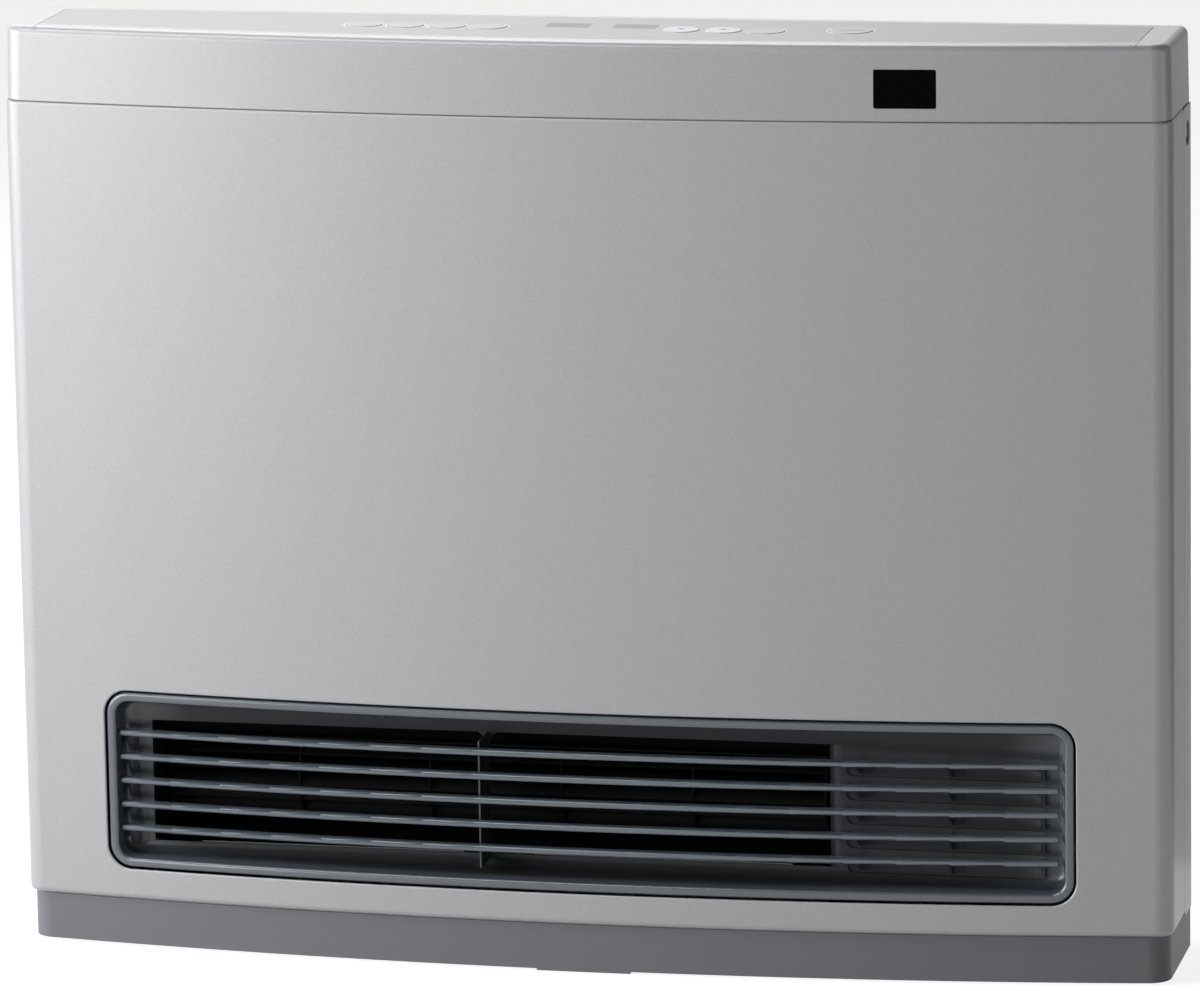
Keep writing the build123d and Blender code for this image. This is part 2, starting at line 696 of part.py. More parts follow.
with BuildPart() as louvre_bezel:
    with BuildSketch(front_plane(TRAY_BACK)):
        with Locations((TRAY_X, TRAY_Z)):
            RectangleRounded(TRAY_WIDTH, TRAY_HEIGHT, TRAY_CORNER)
    extrude(amount=TRAY_DEPTH)
    add(tray_front, mode=Mode.INTERSECT)
    with BuildSketch(front_plane(TRAY_FLOOR)):
        with Locations((TRAY_X, TRAY_Z)):
            RectangleRounded(TRAY_WIDTH - 2 * TRAY_SHRINK, TRAY_HEIGHT - 2 * TRAY_SHRINK,
                             TRAY_CORNER - TRAY_RIM)
    extrude(amount=TRAY_DEPTH, taper=-TRAY_DRAFT, mode=Mode.SUBTRACT)
    tray_floor = louvre_bezel.faces().filter_by(Axis.Y).sort_by(Axis.Y)[0]
    fillet(tray_floor.edges(), TRAY_BLEND)
    box_between((MOUTH_RIGHT, TRAY_BACK, MOUTH_BOTTOM - ROLL_WALL),
                (MOUTH_RIGHT + MOUTH_ROLL + ROLL_WALL, ROLL_BACK, MOUTH_TOP + ROLL_WALL))
    box_between((MOUTH_LEFT, TRAY_FLOOR, MOUTH_BOTTOM), (MOUTH_RIGHT, TRAY_BACK, MOUTH_TOP),
                mode=Mode.SUBTRACT)
    with BuildSketch(level(MOUTH_BOTTOM)):
        with Locations((MOUTH_RIGHT + MOUTH_ROLL / 2, TRAY_FLOOR + MOUTH_ROLL / 2)):
            Rectangle(MOUTH_ROLL, MOUTH_ROLL)
        with Locations((MOUTH_RIGHT + MOUTH_ROLL, TRAY_FLOOR + MOUTH_ROLL)):
            Circle(MOUTH_ROLL, mode=Mode.SUBTRACT)
    extrude(amount=MOUTH_TOP - MOUTH_BOTTOM, mode=Mode.SUBTRACT)
    rim = louvre_bezel.faces().filter_by(GeomType.CYLINDER).sort_by(Axis.Y)[0]
    fillet(rim.edges(), TRAY_ROUND)
    with BuildSketch(front_plane(TRAY_FLOOR + POCKET_DEPTH)):
        for low, high in pocket_rows():
            for left, right in ((POCKET_LEFT, POCKET_RIGHT), (SIDE_POCKET_LEFT, SIDE_POCKET_RIGHT)):
                with Locations(((left + right) / 2, (low + high) / 2)):
                    RectangleRounded(right - left, high - low, POCKET_CORNER)
    extrude(amount=POCKET_DEPTH + TRAY_BLEND, mode=Mode.SUBTRACT)
    with BuildSketch(front_plane(TRAY_FLOOR + POCKET_DEPTH)):
        for index in range(BLADE_COUNT):
            for boss_x in BOSS_XS:
                with Locations((boss_x, blade_z(index) - LEG_DROP)):
                    Circle(BOSS_RADIUS)
    extrude(amount=BOSS_HEIGHT)
    with BuildSketch(front_plane(TRAY_BACK)):
        for index in range(BLADE_COUNT):
            for slot_x in LEG_XS:
                with Locations((slot_x, blade_z(index) - LEG_DROP)):
                    Rectangle(SLOT_WIDTH, SLOT_HEIGHT)
    extrude(amount=TRAY_WALL, mode=Mode.SUBTRACT)
save(louvre_bezel, "louvre_bezel")


# Outlet blades and stay
def make_blade(z):
    """Bowed blade with a rounded front and legs that plug into the tray."""
    with BuildPart() as blade:
        with BuildSketch(level(z - BLADE_THICKNESS / 2)):
            bowed_band(BLADE_LEFT, BLADE_RIGHT, BLADE_SETBACK, BLADE_DEPTH)
        extrude(amount=BLADE_THICKNESS)
        front = blade.faces().filter_by(GeomType.CYLINDER).sort_by(Axis.Y)[0]
        fillet(front.edges().filter_by(GeomType.CIRCLE), BLADE_ROUND)
        low = z - LEG_DROP - LEG_HEIGHT / 2
        high = z - LEG_DROP + LEG_HEIGHT / 2
        tip = TRAY_FLOOR + LEG_TENON
        for leg_x in LEG_XS:
            root = bow_y(leg_x, BLADE_SETBACK + BLADE_DEPTH / 2)
            with BuildSketch(side_plane(leg_x - LEG_THICKNESS / 2)):
                with BuildLine() as leg:
                    Polyline((root, z + LEG_ROOT), (root, z - LEG_ROOT), (TRAY_FLOOR, low),
                             (tip, low), (tip, high), (TRAY_FLOOR, high), (root, z + LEG_ROOT))
                make_face(leg.edges())
            extrude(amount=LEG_THICKNESS)
    return blade


for number in range(BLADE_COUNT):
    save(make_blade(blade_z(number)), f"louvre_blade_{number + 1}")

stay_front = bow_y(STAY_X, BLADE_SETBACK + BLADE_DEPTH) + SEAT_GAP
stay_half = STAY_THICKNESS / 2
foot_top = MOUTH_BOTTOM + STAY_FOOT_HEIGHT
foot_peak = MOUTH_BOTTOM + STAY_FOOT_PEAK
flare_z = MOUTH_TOP - STAY_FLARE_DROP
neck_z = MOUTH_TOP - STAY_NECK_DROP

with BuildPart() as louvre_stay:
    box_between((STAY_X - stay_half, stay_front, MOUTH_BOTTOM),
                (STAY_X + stay_half, TRAY_BACK, MOUTH_TOP))
    with BuildSketch(front_plane(TRAY_BACK)):
        with BuildLine():
            Polyline((STAY_X - STAY_FLARE, MOUTH_TOP), (STAY_X + STAY_FLARE, MOUTH_TOP),
                     (STAY_X + STAY_NECK, flare_z), (STAY_X, neck_z), (STAY_X - STAY_NECK, flare_z),
                     (STAY_X - STAY_FLARE, MOUTH_TOP))
        make_face()
        with BuildLine():
            Polyline((STAY_FOOT_LEFT, MOUTH_BOTTOM), (STAY_FOOT_RIGHT, MOUTH_BOTTOM),
                     (STAY_FOOT_RIGHT - STAY_FOOT_SLOPE, foot_top),
                     (STAY_X + STAY_FLARE, foot_top), (STAY_X, foot_peak),
                     (STAY_X - STAY_FLARE, foot_top), (STAY_FOOT_LEFT, MOUTH_BOTTOM))
        make_face()
    extrude(amount=TRAY_WALL)
save(louvre_stay, "louvre_stay")


# Fan rotor
ROTOR_LEFT = DUCT_LEFT + FAN_END_GAP
ROTOR_RIGHT = DUCT_RIGHT - FAN_END_GAP


def fan_blade_outline():
    """Curved blade in section: two arcs from the ring's inner to outer edge."""
    inner = FAN_RADIUS - FAN_BLADE_DEPTH
    lead = radians(FAN_BLADE_LEAD)
    start = Vector(inner, 0)
    end = Vector((FAN_RADIUS - FAN_BLADE_THICKNESS / 2) * cos(lead),
                 (FAN_RADIUS - FAN_BLADE_THICKNESS / 2) * sin(lead))
    across = (end - start).normalized()
    normal = Vector(across.Y, -across.X)
    middle = (start + end) / 2
    shift = normal * (FAN_BLADE_THICKNESS / 2)
    with BuildLine() as outline:
        ThreePointArc(start + shift, middle + normal * FAN_BLADE_SAGITTA + shift, end + shift)
        Line(end + shift, end - shift)
        ThreePointArc(end - shift, middle + normal * FAN_BLADE_SAGITTA - shift, start - shift)
        Line(start - shift, start + shift)
    make_face(outline.edges())


def fan_plane(x):
    """Plane square to the fan's axis."""
    return Plane(origin=(x, FAN_Y, FAN_Z), x_dir=(0, 1, 0), z_dir=(1, 0, 0))


with BuildPart() as fan_rotor:
    with BuildSketch(fan_plane(ROTOR_LEFT)):
        with BuildSketch(mode=Mode.PRIVATE) as one_blade:
            fan_blade_outline()
        with PolarLocations(0, FAN_BLADES):
            add(one_blade.sketch)
    extrude(amount=ROTOR_RIGHT - ROTOR_LEFT)
    disc_pitch = (ROTOR_RIGHT - ROTOR_LEFT - FAN_DISC) / (FAN_DISCS - 1)
    for number in range(FAN_DISCS):
        with BuildSketch(fan_plane(ROTOR_LEFT + number * disc_pitch)):
            Circle(FAN_RADIUS)
            if 0 < number < FAN_DISCS - 1:
                Circle(FAN_RADIUS - FAN_BLADE_DEPTH - FAN_BLADE_THICKNESS, mode=Mode.SUBTRACT)
        extrude(amount=FAN_DISC)
    with BuildSketch(fan_plane(ROTOR_RIGHT - FAN_HUB_LENGTH)):
        Circle(FAN_HUB_RADIUS)
    extrude(amount=FAN_HUB_LENGTH)
    with BuildSketch(fan_plane(ROTOR_LEFT - FAN_END_GAP - BEARING_LENGTH)):
        Circle(SHAFT_RADIUS)
    extrude(amount=FAN_END_GAP + BEARING_LENGTH)
    with BuildSketch(fan_plane(ROTOR_RIGHT - FAN_HUB_LENGTH)):
        Circle(SHAFT_RADIUS + SHAFT_FIT)
    extrude(amount=FAN_HUB_LENGTH, mode=Mode.SUBTRACT)
save(fan_rotor, "fan_rotor")

MOTOR_FACE = DUCT_RIGHT + SHEET + MOTOR_GAP

with BuildPart() as fan_shaft:
    with BuildSketch(fan_plane(ROTOR_RIGHT - FAN_HUB_LENGTH)):
        Circle(SHAFT_RADIUS)
    extrude(amount=MOTOR_FACE + MOTOR_GRIP - SEAT_GAP - ROTOR_RIGHT + FAN_HUB_LENGTH)
save(fan_shaft, "fan_shaft")

with BuildPart() as fan_bearing:
    with BuildSketch(fan_plane(DUCT_LEFT - BEARING_LENGTH)):
        Circle(BEARING_RADIUS)
    extrude(amount=BEARING_LENGTH)
    with BuildSketch(fan_plane(DUCT_LEFT - SHEET - BEARING_FLANGE)):
        Circle(BEARING_RADIUS + BEARING_FLANGE)
    extrude(amount=BEARING_FLANGE)
    with BuildSketch(fan_plane(DUCT_LEFT - BEARING_LENGTH)):
        Circle(SHAFT_RADIUS + SHAFT_FIT)
    extrude(amount=BEARING_LENGTH, mode=Mode.SUBTRACT)
save(fan_bearing, "fan_bearing")

# Fan duct
with BuildPart() as fan_scroll:
    with BuildSketch(side_plane(DUCT_LEFT)):
        with BuildLine():
            floor_line = Line((TRAY_BACK, MOUTH_BOTTOM), (FAN_Y - SCROLL_SHIFT, MOUTH_BOTTOM))
            main_arc = JernArc(floor_line @ 1, floor_line % 1, SCROLL_RADIUS, SCROLL_MAIN_SWEEP)
            start_arc = JernArc(main_arc @ 1, main_arc % 1, SCROLL_START_RADIUS, SCROLL_START_SWEEP)
            Line(start_arc @ 1, (REAR_INSIDE - SHEET - SEAT_GAP, (start_arc @ 1).Y + SCROLL_LEAD_RISE))
            offset(amount=SHEET, side=Side.RIGHT)
        make_face()
    extrude(amount=DUCT_RIGHT - DUCT_LEFT)
    for lip_left, lip_right in FLOOR_LIP_SPANS:
        box_between((lip_left, TRAY_BACK, MOUTH_BOTTOM),
                    (lip_right, TRAY_BACK + SHEET, MOUTH_BOTTOM + FLOOR_LIP))
save(fan_scroll, "fan_scroll")

tongue_angle = radians(TONGUE_ANGLE)
tongue = Vector(FAN_Y + (FAN_RADIUS + TONGUE_GAP) * cos(tongue_angle),
                FAN_Z + (FAN_RADIUS + TONGUE_GAP) * sin(tongue_angle))
tongue_run = Vector(sin(tongue_angle), -cos(tongue_angle)) * TONGUE_LENGTH

with BuildPart() as duct_ceiling:
    with BuildSketch(side_plane(DUCT_LEFT)):
        with BuildLine():
            Polyline((TRAY_BACK, MOUTH_TOP), tongue, tongue + tongue_run)
            offset(amount=SHEET, side=Side.LEFT)
        make_face()
    extrude(amount=DUCT_RIGHT - DUCT_LEFT)
save(duct_ceiling, "duct_ceiling")

MANIFOLD_Y = PLENUM_FRONT + MANIFOLD_GAP


def make_end_plate(inner_face, outwards, hole_radius, pipe_hole, roll_notch):
    """Duct end plate with a foot, a top flange and the hole for the fan's axis."""
    outer_face = inner_face + outwards * SHEET
    tip = inner_face + outwards * END_FLANGE
    rear = PAN_BACK - PAN_SHEET - SEAT_GAP
    with BuildPart() as plate:
        box_between((min(inner_face, outer_face), TRAY_BACK, PAN_TOP),
                    (max(inner_face, outer_face), rear, END_PLATE_TOP))
        for low in (PAN_TOP, END_PLATE_TOP - SHEET):
            box_between((min(inner_face, tip), TRAY_BACK, low),
                        (max(inner_face, tip), rear, low + SHEET))
        with BuildSketch(side_plane(min(inner_face, outer_face))):
            with Locations((FAN_Y, FAN_Z)):
                Circle(hole_radius)
            if pipe_hole:
                with Locations((MANIFOLD_Y, MANIFOLD_Z)):
                    Circle(MANIFOLD_RADIUS + SEAT_GAP)
        extrude(amount=SHEET, mode=Mode.SUBTRACT)
        if roll_notch:
            notch = ROLL_WALL + SEAT_GAP
            box_between((min(inner_face, outer_face), TRAY_BACK, MOUTH_BOTTOM - notch),
                        (max(inner_face, outer_face), ROLL_BACK + SEAT_GAP, MOUTH_TOP + notch),
                        mode=Mode.SUBTRACT)
    return plate


duct_end_left = make_end_plate(DUCT_LEFT, -1, BEARING_RADIUS + SHAFT_FIT, False, False)
save(duct_end_left, "duct_end_left")
duct_end_right = make_end_plate(DUCT_RIGHT, 1, SHAFT_HOLE_RADIUS, True, True)
save(duct_end_right, "duct_end_right")

# Fan motor
with BuildPart() as fan_motor:
    with BuildSketch(fan_plane(MOTOR_FACE)):
        Circle(MOTOR_RADIUS)
    extrude(amount=MOTOR_LENGTH)
    chamfer(fan_motor.edges().group_by(Axis.X)[-1], MOTOR_CHAMFER)
    with BuildSketch(fan_plane(MOTOR_FACE - MOTOR_BOSS)):
        Circle(MOTOR_BOSS_RADIUS)
    extrude(amount=MOTOR_BOSS)
    with BuildSketch(fan_plane(MOTOR_FACE - MOTOR_BOSS)):
        Circle(SHAFT_RADIUS + SHAFT_FIT)
    extrude(amount=MOTOR_GRIP + MOTOR_BOSS, mode=Mode.SUBTRACT)
save(fan_motor, "fan_motor")

with BuildPart() as motor_bracket:
    box_between((MOTOR_FACE - BRACKET_SHEET, FAN_Y - BRACKET_HALF, PAN_TOP),
                (MOTOR_FACE, FAN_Y + BRACKET_HALF, FAN_Z + BRACKET_HALF))
    box_between((MOTOR_FACE - BRACKET_SHEET, FAN_Y - BRACKET_HALF, PAN_TOP),
                (MOTOR_FACE + BRACKET_FOOT, FAN_Y + BRACKET_HALF, PAN_TOP + BRACKET_SHEET))
    with BuildSketch(fan_plane(MOTOR_FACE - BRACKET_SHEET)):
        Circle(MOTOR_BOSS_RADIUS + SEAT_GAP)
    extrude(amount=BRACKET_SHEET, mode=Mode.SUBTRACT)
save(motor_bracket, "motor_bracket")

# Burner chamber and heat shield
CHAMBER_LEFT = DUCT_LEFT - CHAMBER_OVERHANG
CHAMBER_RIGHT = DUCT_RIGHT + CHAMBER_OVERHANG
CHAMBER_MIDDLE = (CHAMBER_LEFT + CHAMBER_RIGHT) / 2
CHAMBER_TOP = END_PLATE_TOP + CHAMBER_HEIGHT
BURNER_Y = (PLENUM_FRONT + PLENUM_BACK) / 2
burner_xs = [CHAMBER_MIDDLE + (n - (BURNER_COUNT - 1) / 2) * BURNER_PITCH
             for n in range(BURNER_COUNT)]
SPARK_X = burner_xs[1]
FLAME_X = burner_xs[-2]
ROD_Z = END_PLATE_TOP + SHEET + BURNER_RISE + 6

with BuildPart() as combustion_chamber:
    box_between((CHAMBER_LEFT, PLENUM_FRONT, END_PLATE_TOP),
                (CHAMBER_RIGHT, PLENUM_BACK, CHAMBER_TOP))
    box_between((CHAMBER_LEFT + SHEET, PLENUM_FRONT + SHEET, END_PLATE_TOP + SHEET),
                (CHAMBER_RIGHT - SHEET, PLENUM_BACK - SHEET, CHAMBER_TOP - SHEET), mode=Mode.SUBTRACT)
    with BuildSketch(level(END_PLATE_TOP)):
        for burner_x in burner_xs:
            with Locations((burner_x, BURNER_Y)):
                Rectangle(BURNER_WIDTH + 2 * SEAT_GAP, BURNER_DEPTH + 2 * SEAT_GAP)
    extrude(amount=SHEET, mode=Mode.SUBTRACT)
    with BuildSketch(front_plane(PLENUM_BACK)):
        with Locations((CHAMBER_MIDDLE, CHAMBER_TOP - EXIT_DROP)):
            with GridLocations(EXIT_WIDTH + FLANGE, 1, EXIT_COUNT, 1):
                Rectangle(EXIT_WIDTH, EXIT_HEIGHT)
    extrude(amount=SHEET, mode=Mode.SUBTRACT)
    with BuildSketch(front_plane(PLENUM_FRONT + SHEET)):
        with Locations((SPARK_X, ROD_Z), (FLAME_X, ROD_Z)):
            Circle(ROD_RADIUS + SEAT_GAP)
    extrude(amount=SHEET, mode=Mode.SUBTRACT)
save(combustion_chamber, "combustion_chamber")

SHIELD_Y = TRAY_BACK + SHEET
with BuildPart() as heat_shield:
    box_between((CHAMBER_LEFT, SHIELD_Y - SHEET, END_PLATE_TOP),
                (CHAMBER_RIGHT, SHIELD_Y, END_PLATE_TOP + SHIELD_HEIGHT))
    for shield_x in (CHAMBER_LEFT, CHAMBER_RIGHT - SHEET):
        box_between((shield_x, SHIELD_Y - SHEET - FLANGE, END_PLATE_TOP + FLANGE),
                    (shield_x + SHEET, SHIELD_Y, END_PLATE_TOP + SHIELD_HEIGHT))
save(heat_shield, "heat_shield")

# Burners, manifold and rods
burner_bottom = END_PLATE_TOP - BURNER_DROP
burner_top = END_PLATE_TOP + SHEET + BURNER_RISE

with BuildPart() as burners:
    for burner_x in burner_xs:
        with BuildSketch(side_plane(burner_x - BURNER_WIDTH / 2)):
            with BuildLine():
                front = BURNER_Y - BURNER_DEPTH / 2
                rear = BURNER_Y + BURNER_DEPTH / 2
                Polyline((front, burner_top), (front, burner_bottom), (rear - BURNER_DROP / 2, burner_bottom),
                         (rear, burner_bottom + BURNER_DROP / 2), (rear, burner_top), (front, burner_top))
            make_face()
        extrude(amount=BURNER_WIDTH)
        box_between((burner_x - BURNER_WIDTH / 2 - BURNER_LIP, front - BURNER_LIP, END_PLATE_TOP + SHEET),
                    (burner_x + BURNER_WIDTH / 2 + BURNER_LIP, rear + BURNER_LIP,
                     END_PLATE_TOP + SHEET + BURNER_LIP_HEIGHT))
        with BuildSketch(level(burner_top)):
            with Locations((burner_x, BURNER_Y)):
                with GridLocations(1, BURNER_DEPTH / BURNER_PORTS, 1, BURNER_PORTS):
                    Rectangle(BURNER_WIDTH / 2, BURNER_DEPTH / BURNER_PORTS / 3)
        extrude(amount=-BURNER_RISE / 2, mode=Mode.SUBTRACT)
        with BuildSketch(front_plane(front)):
            with Locations((burner_x, MANIFOLD_Z)):
                Circle(BURNER_MOUTH_RADIUS)
        extrude(amount=-BURNER_DEPTH / 2, mode=Mode.SUBTRACT)
save(burners, "burners")

MANIFOLD_END = CHAMBER_RIGHT + MANIFOLD_REACH
NOZZLE_TIP = BURNER_Y - BURNER_DEPTH / 2 + SHEET

with BuildPart() as gas_manifold:
    manifold_start = burner_xs[0] - BURNER_PITCH / 2
    with BuildSketch(Plane(origin=(manifold_start, MANIFOLD_Y, MANIFOLD_Z), x_dir=(0, 1, 0), z_dir=(1, 0, 0))):
        Circle(MANIFOLD_RADIUS)
    extrude(amount=MANIFOLD_END - manifold_start)
    with BuildSketch(front_plane(NOZZLE_TIP)):
        with Locations(*[(burner_x, MANIFOLD_Z) for burner_x in burner_xs]):
            Circle(BURNER_MOUTH_RADIUS - SEAT_GAP)
    extrude(amount=NOZZLE_TIP - MANIFOLD_Y)
save(gas_manifold, "gas_manifold")


def make_rod(x, tip_length):
    """Ceramic rod through the chamber's front, with a collar and a wire tip."""
    with BuildPart() as rod:
        with BuildSketch(front_plane(PLENUM_FRONT + SHEET * 4)):
            with Locations((x, ROD_Z)):
                Circle(ROD_RADIUS)
        extrude(amount=SHEET * 5)
        with BuildSketch(front_plane(PLENUM_FRONT)):
            with Locations((x, ROD_Z)):
                Circle(ROD_COLLAR)
        extrude(amount=SHEET * 1.5)
        with BuildSketch(front_plane(PLENUM_FRONT + SHEET * 4 + tip_length)):
            with Locations((x, ROD_Z)):
                Circle(ROD_TIP_RADIUS)
        extrude(amount=tip_length)
    return rod


save(make_rod(SPARK_X, 14), "spark_electrode")
save(make_rod(FLAME_X, 24), "flame_rod")

# Gas inlet, pipes and valve
INLET_BEND_Y = REAR - INLET_INNER
VALVE_Y = REAR_INSIDE - VALVE_DEPTH

with BuildPart() as gas_inlet:
    with BuildSketch(front_plane(REAR + INLET_REACH)):
        with Locations((INLET_X, INLET_Z)):
            Circle(INLET_RADIUS)
    extrude(amount=INLET_REACH + INLET_INNER)
    chamfer(gas_inlet.edges().sort_by(Axis.Y)[-1], INLET_CHAMFER)
    with BuildSketch(front_plane(REAR + INLET_HEX_DEPTH)):
        with Locations((INLET_X, INLET_Z)):
            RegularPolygon(INLET_HEX, 6)
    extrude(amount=INLET_HEX_DEPTH)
    with BuildSketch(level(INLET_Z)):
        with Locations((INLET_X, INLET_BEND_Y + INLET_RADIUS)):
            Circle(INLET_RADIUS)
    extrude(amount=INLET_RADIUS * 2)
save(gas_inlet, "gas_inlet")

with BuildPart() as gas_pipe:
    with BuildSketch(level(INLET_Z + INLET_RADIUS * 2)):
        with Locations((INLET_X, INLET_BEND_Y + INLET_RADIUS)):
            Circle(PIPE_RADIUS)
    extrude(amount=VALVE_BOTTOM - INLET_Z - INLET_RADIUS * 2)
save(gas_pipe, "gas_pipe")

with BuildPart() as gas_valve:
    box_between((INLET_X - VALVE_WIDTH / 2, VALVE_Y, VALVE_BOTTOM),
                (INLET_X + VALVE_WIDTH / 2, REAR_INSIDE, VALVE_BOTTOM + VALVE_HEIGHT))
    fillet(gas_valve.edges().filter_by(Axis.Z), 5)
    with BuildSketch(level(VALVE_BOTTOM + VALVE_HEIGHT)):
        with Locations((INLET_X, VALVE_Y + VALVE_DEPTH / 2)):
            with GridLocations(VALVE_WIDTH / 2, 1, 2, 1):
                Circle(COIL_RADIUS)
    extrude(amount=COIL_HEIGHT)
    with BuildSketch(front_plane(VALVE_Y)):
        with Locations((INLET_X + VALVE_WIDTH / 5, VALVE_BOTTOM + VALVE_HEIGHT * 0.7)):
            Circle(COIL_RADIUS)
    extrude(amount=COIL_RADIUS)
save(gas_valve, "gas_valve")

PIPE_TURN_X = INLET_X - VALVE_WIDTH / 4
with BuildPart() as manifold_pipe:
    with BuildLine() as pipe_route:
        FilletPolyline((PIPE_TURN_X, VALVE_Y, MANIFOLD_Z), (PIPE_TURN_X, MANIFOLD_Y, MANIFOLD_Z),
                       (MANIFOLD_END, MANIFOLD_Y, MANIFOLD_Z), radius=10)
    with BuildSketch(Plane(origin=pipe_route.line @ 0, z_dir=pipe_route.line % 0)):
        Circle(PIPE_RADIUS)
    sweep()
save(manifold_pipe, "manifold_pipe")

# Electric parts
with BuildPart() as board_tray:
    box_between((TRAY_BOARD_LEFT, REAR_INSIDE - TRAY_BOARD_WALL, TRAY_BOARD_BOTTOM),
                (TRAY_BOARD_RIGHT, REAR_INSIDE, TRAY_BOARD_TOP))
    with BuildSketch(front_plane(REAR_INSIDE - TRAY_BOARD_WALL)):
        with Locations(((TRAY_BOARD_LEFT + TRAY_BOARD_RIGHT) / 2, (TRAY_BOARD_BOTTOM + TRAY_BOARD_TOP) / 2)):
            Rectangle(TRAY_BOARD_RIGHT - TRAY_BOARD_LEFT, TRAY_BOARD_TOP - TRAY_BOARD_BOTTOM)
            Rectangle(TRAY_BOARD_RIGHT - TRAY_BOARD_LEFT - 2 * TRAY_BOARD_WALL,
                      TRAY_BOARD_TOP - TRAY_BOARD_BOTTOM - 2 * TRAY_BOARD_WALL, mode=Mode.SUBTRACT)
            with GridLocations(TRAY_BOARD_RIGHT - TRAY_BOARD_LEFT - 4 * TRAY_BOARD_POST,
                               TRAY_BOARD_TOP - TRAY_BOARD_BOTTOM - 4 * TRAY_BOARD_POST, 2, 2):
                Circle(TRAY_BOARD_POST / 2)
    extrude(amount=TRAY_BOARD_RIM)
save(board_tray, "board_tray")

board_face = REAR_INSIDE - TRAY_BOARD_WALL - TRAY_BOARD_RIM
with BuildPart() as main_board:
    box_between((TRAY_BOARD_LEFT + TRAY_BOARD_WALL, board_face - BOARD_THICKNESS,
                 TRAY_BOARD_BOTTOM + TRAY_BOARD_WALL),
                (TRAY_BOARD_RIGHT - TRAY_BOARD_WALL, board_face, TRAY_BOARD_TOP - TRAY_BOARD_WALL))
    with BuildSketch(front_plane(board_face - BOARD_THICKNESS)):
        relay_z = TRAY_BOARD_TOP - 2 * RELAY_HEIGHT
        with Locations((TRAY_BOARD_LEFT + 1.5 * RELAY_WIDTH, relay_z),
                       (TRAY_BOARD_LEFT + 3 * RELAY_WIDTH, relay_z)):
            Rectangle(RELAY_WIDTH, RELAY_HEIGHT)
        with Locations((TRAY_BOARD_RIGHT - 3 * CAPACITOR_RADIUS, TRAY_BOARD_BOTTOM + 4 * CAPACITOR_RADIUS)):
            Circle(CAPACITOR_RADIUS)
    extrude(amount=COMPONENT_RISE)
save(main_board, "main_board")

with BuildPart() as transformer:
    core_half = TRANSFORMER_WIDTH / 2
    coil_half = TRANSFORMER_COIL / 2
    core_back = TRANSFORMER_FRONT + TRANSFORMER_DEPTH
    box_between((TRANSFORMER_X - core_half, TRANSFORMER_FRONT, PAN_TOP),
                (TRANSFORMER_X + core_half, core_back, PAN_TOP + TRANSFORMER_HEIGHT))
    box_between((TRANSFORMER_X - coil_half, TRANSFORMER_FRONT - coil_half / 3, PAN_TOP + coil_half / 2),
                (TRANSFORMER_X + coil_half, core_back + coil_half / 3,
                 PAN_TOP + TRANSFORMER_HEIGHT - coil_half / 2))
save(transformer, "transformer")

with BuildPart() as igniter:
    box_between((IGNITER_X - IGNITER_WIDTH / 2, BURNER_Y - IGNITER_DEPTH / 2, PAN_TOP),
                (IGNITER_X + IGNITER_WIDTH / 2, BURNER_Y + IGNITER_DEPTH / 2, PAN_TOP + IGNITER_HEIGHT))
    fillet(igniter.edges().filter_by(Axis.Z), 3)
save(igniter, "igniter")

with BuildPart() as overheat_switch:
    with BuildSketch(Plane(origin=(CHAMBER_RIGHT, BURNER_Y, CHAMBER_TOP - SWITCH_DROP),
                           x_dir=(0, 1, 0), z_dir=(1, 0, 0))):
        Circle(SWITCH_DISC_RADIUS)
    extrude(amount=SWITCH_DISC_RADIUS)
save(overheat_switch, "overheat_switch")

with BuildPart() as room_thermistor:
    box_between((THERMISTOR_X - THERMISTOR_CLIP / 2, REAR_INSIDE - THERMISTOR_CLIP, THERMISTOR_Z),
                (THERMISTOR_X + THERMISTOR_CLIP / 2, REAR_INSIDE, THERMISTOR_Z + 2 * THERMISTOR_CLIP))
    with BuildSketch(level(THERMISTOR_Z + 2 * THERMISTOR_CLIP)):
        with Locations((THERMISTOR_X, REAR_INSIDE - THERMISTOR_CLIP / 2)):
            Circle(THERMISTOR_BEAD)
    extrude(amount=THERMISTOR_CLIP)
save(room_thermistor, "room_thermistor")

with BuildPart() as cord_gland:
    with BuildSketch(front_plane(REAR + GLAND_FLANGE)):
        with Locations((GLAND_X, GLAND_Z)):
            Circle(GLAND_RADIUS + GLAND_FLANGE)
    extrude(amount=GLAND_FLANGE)
    with BuildSketch(front_plane(REAR)):
        with Locations((GLAND_X, GLAND_Z)):
            Circle(GLAND_RADIUS - WINDOW_FIT)
    extrude(amount=GLAND_INNER)
    with BuildSketch(front_plane(REAR + GLAND_FLANGE)):
        with Locations((GLAND_X, GLAND_Z)):
            Circle(GLAND_BORE)
    extrude(amount=GLAND_FLANGE + GLAND_INNER, mode=Mode.SUBTRACT)
save(cord_gland, "cord_gland")

# Rear case
STRIP_FRONT = RETURN_EDGE + RETURN_GAP
FILTER_FACE = REAR + FILTER_FIT
RAIL_REACH = FILTER_FIT * 2 + FILTER_THICKNESS
FILTER_MIDDLE = FILTER_BOTTOM + FILTER_HEIGHT / 2

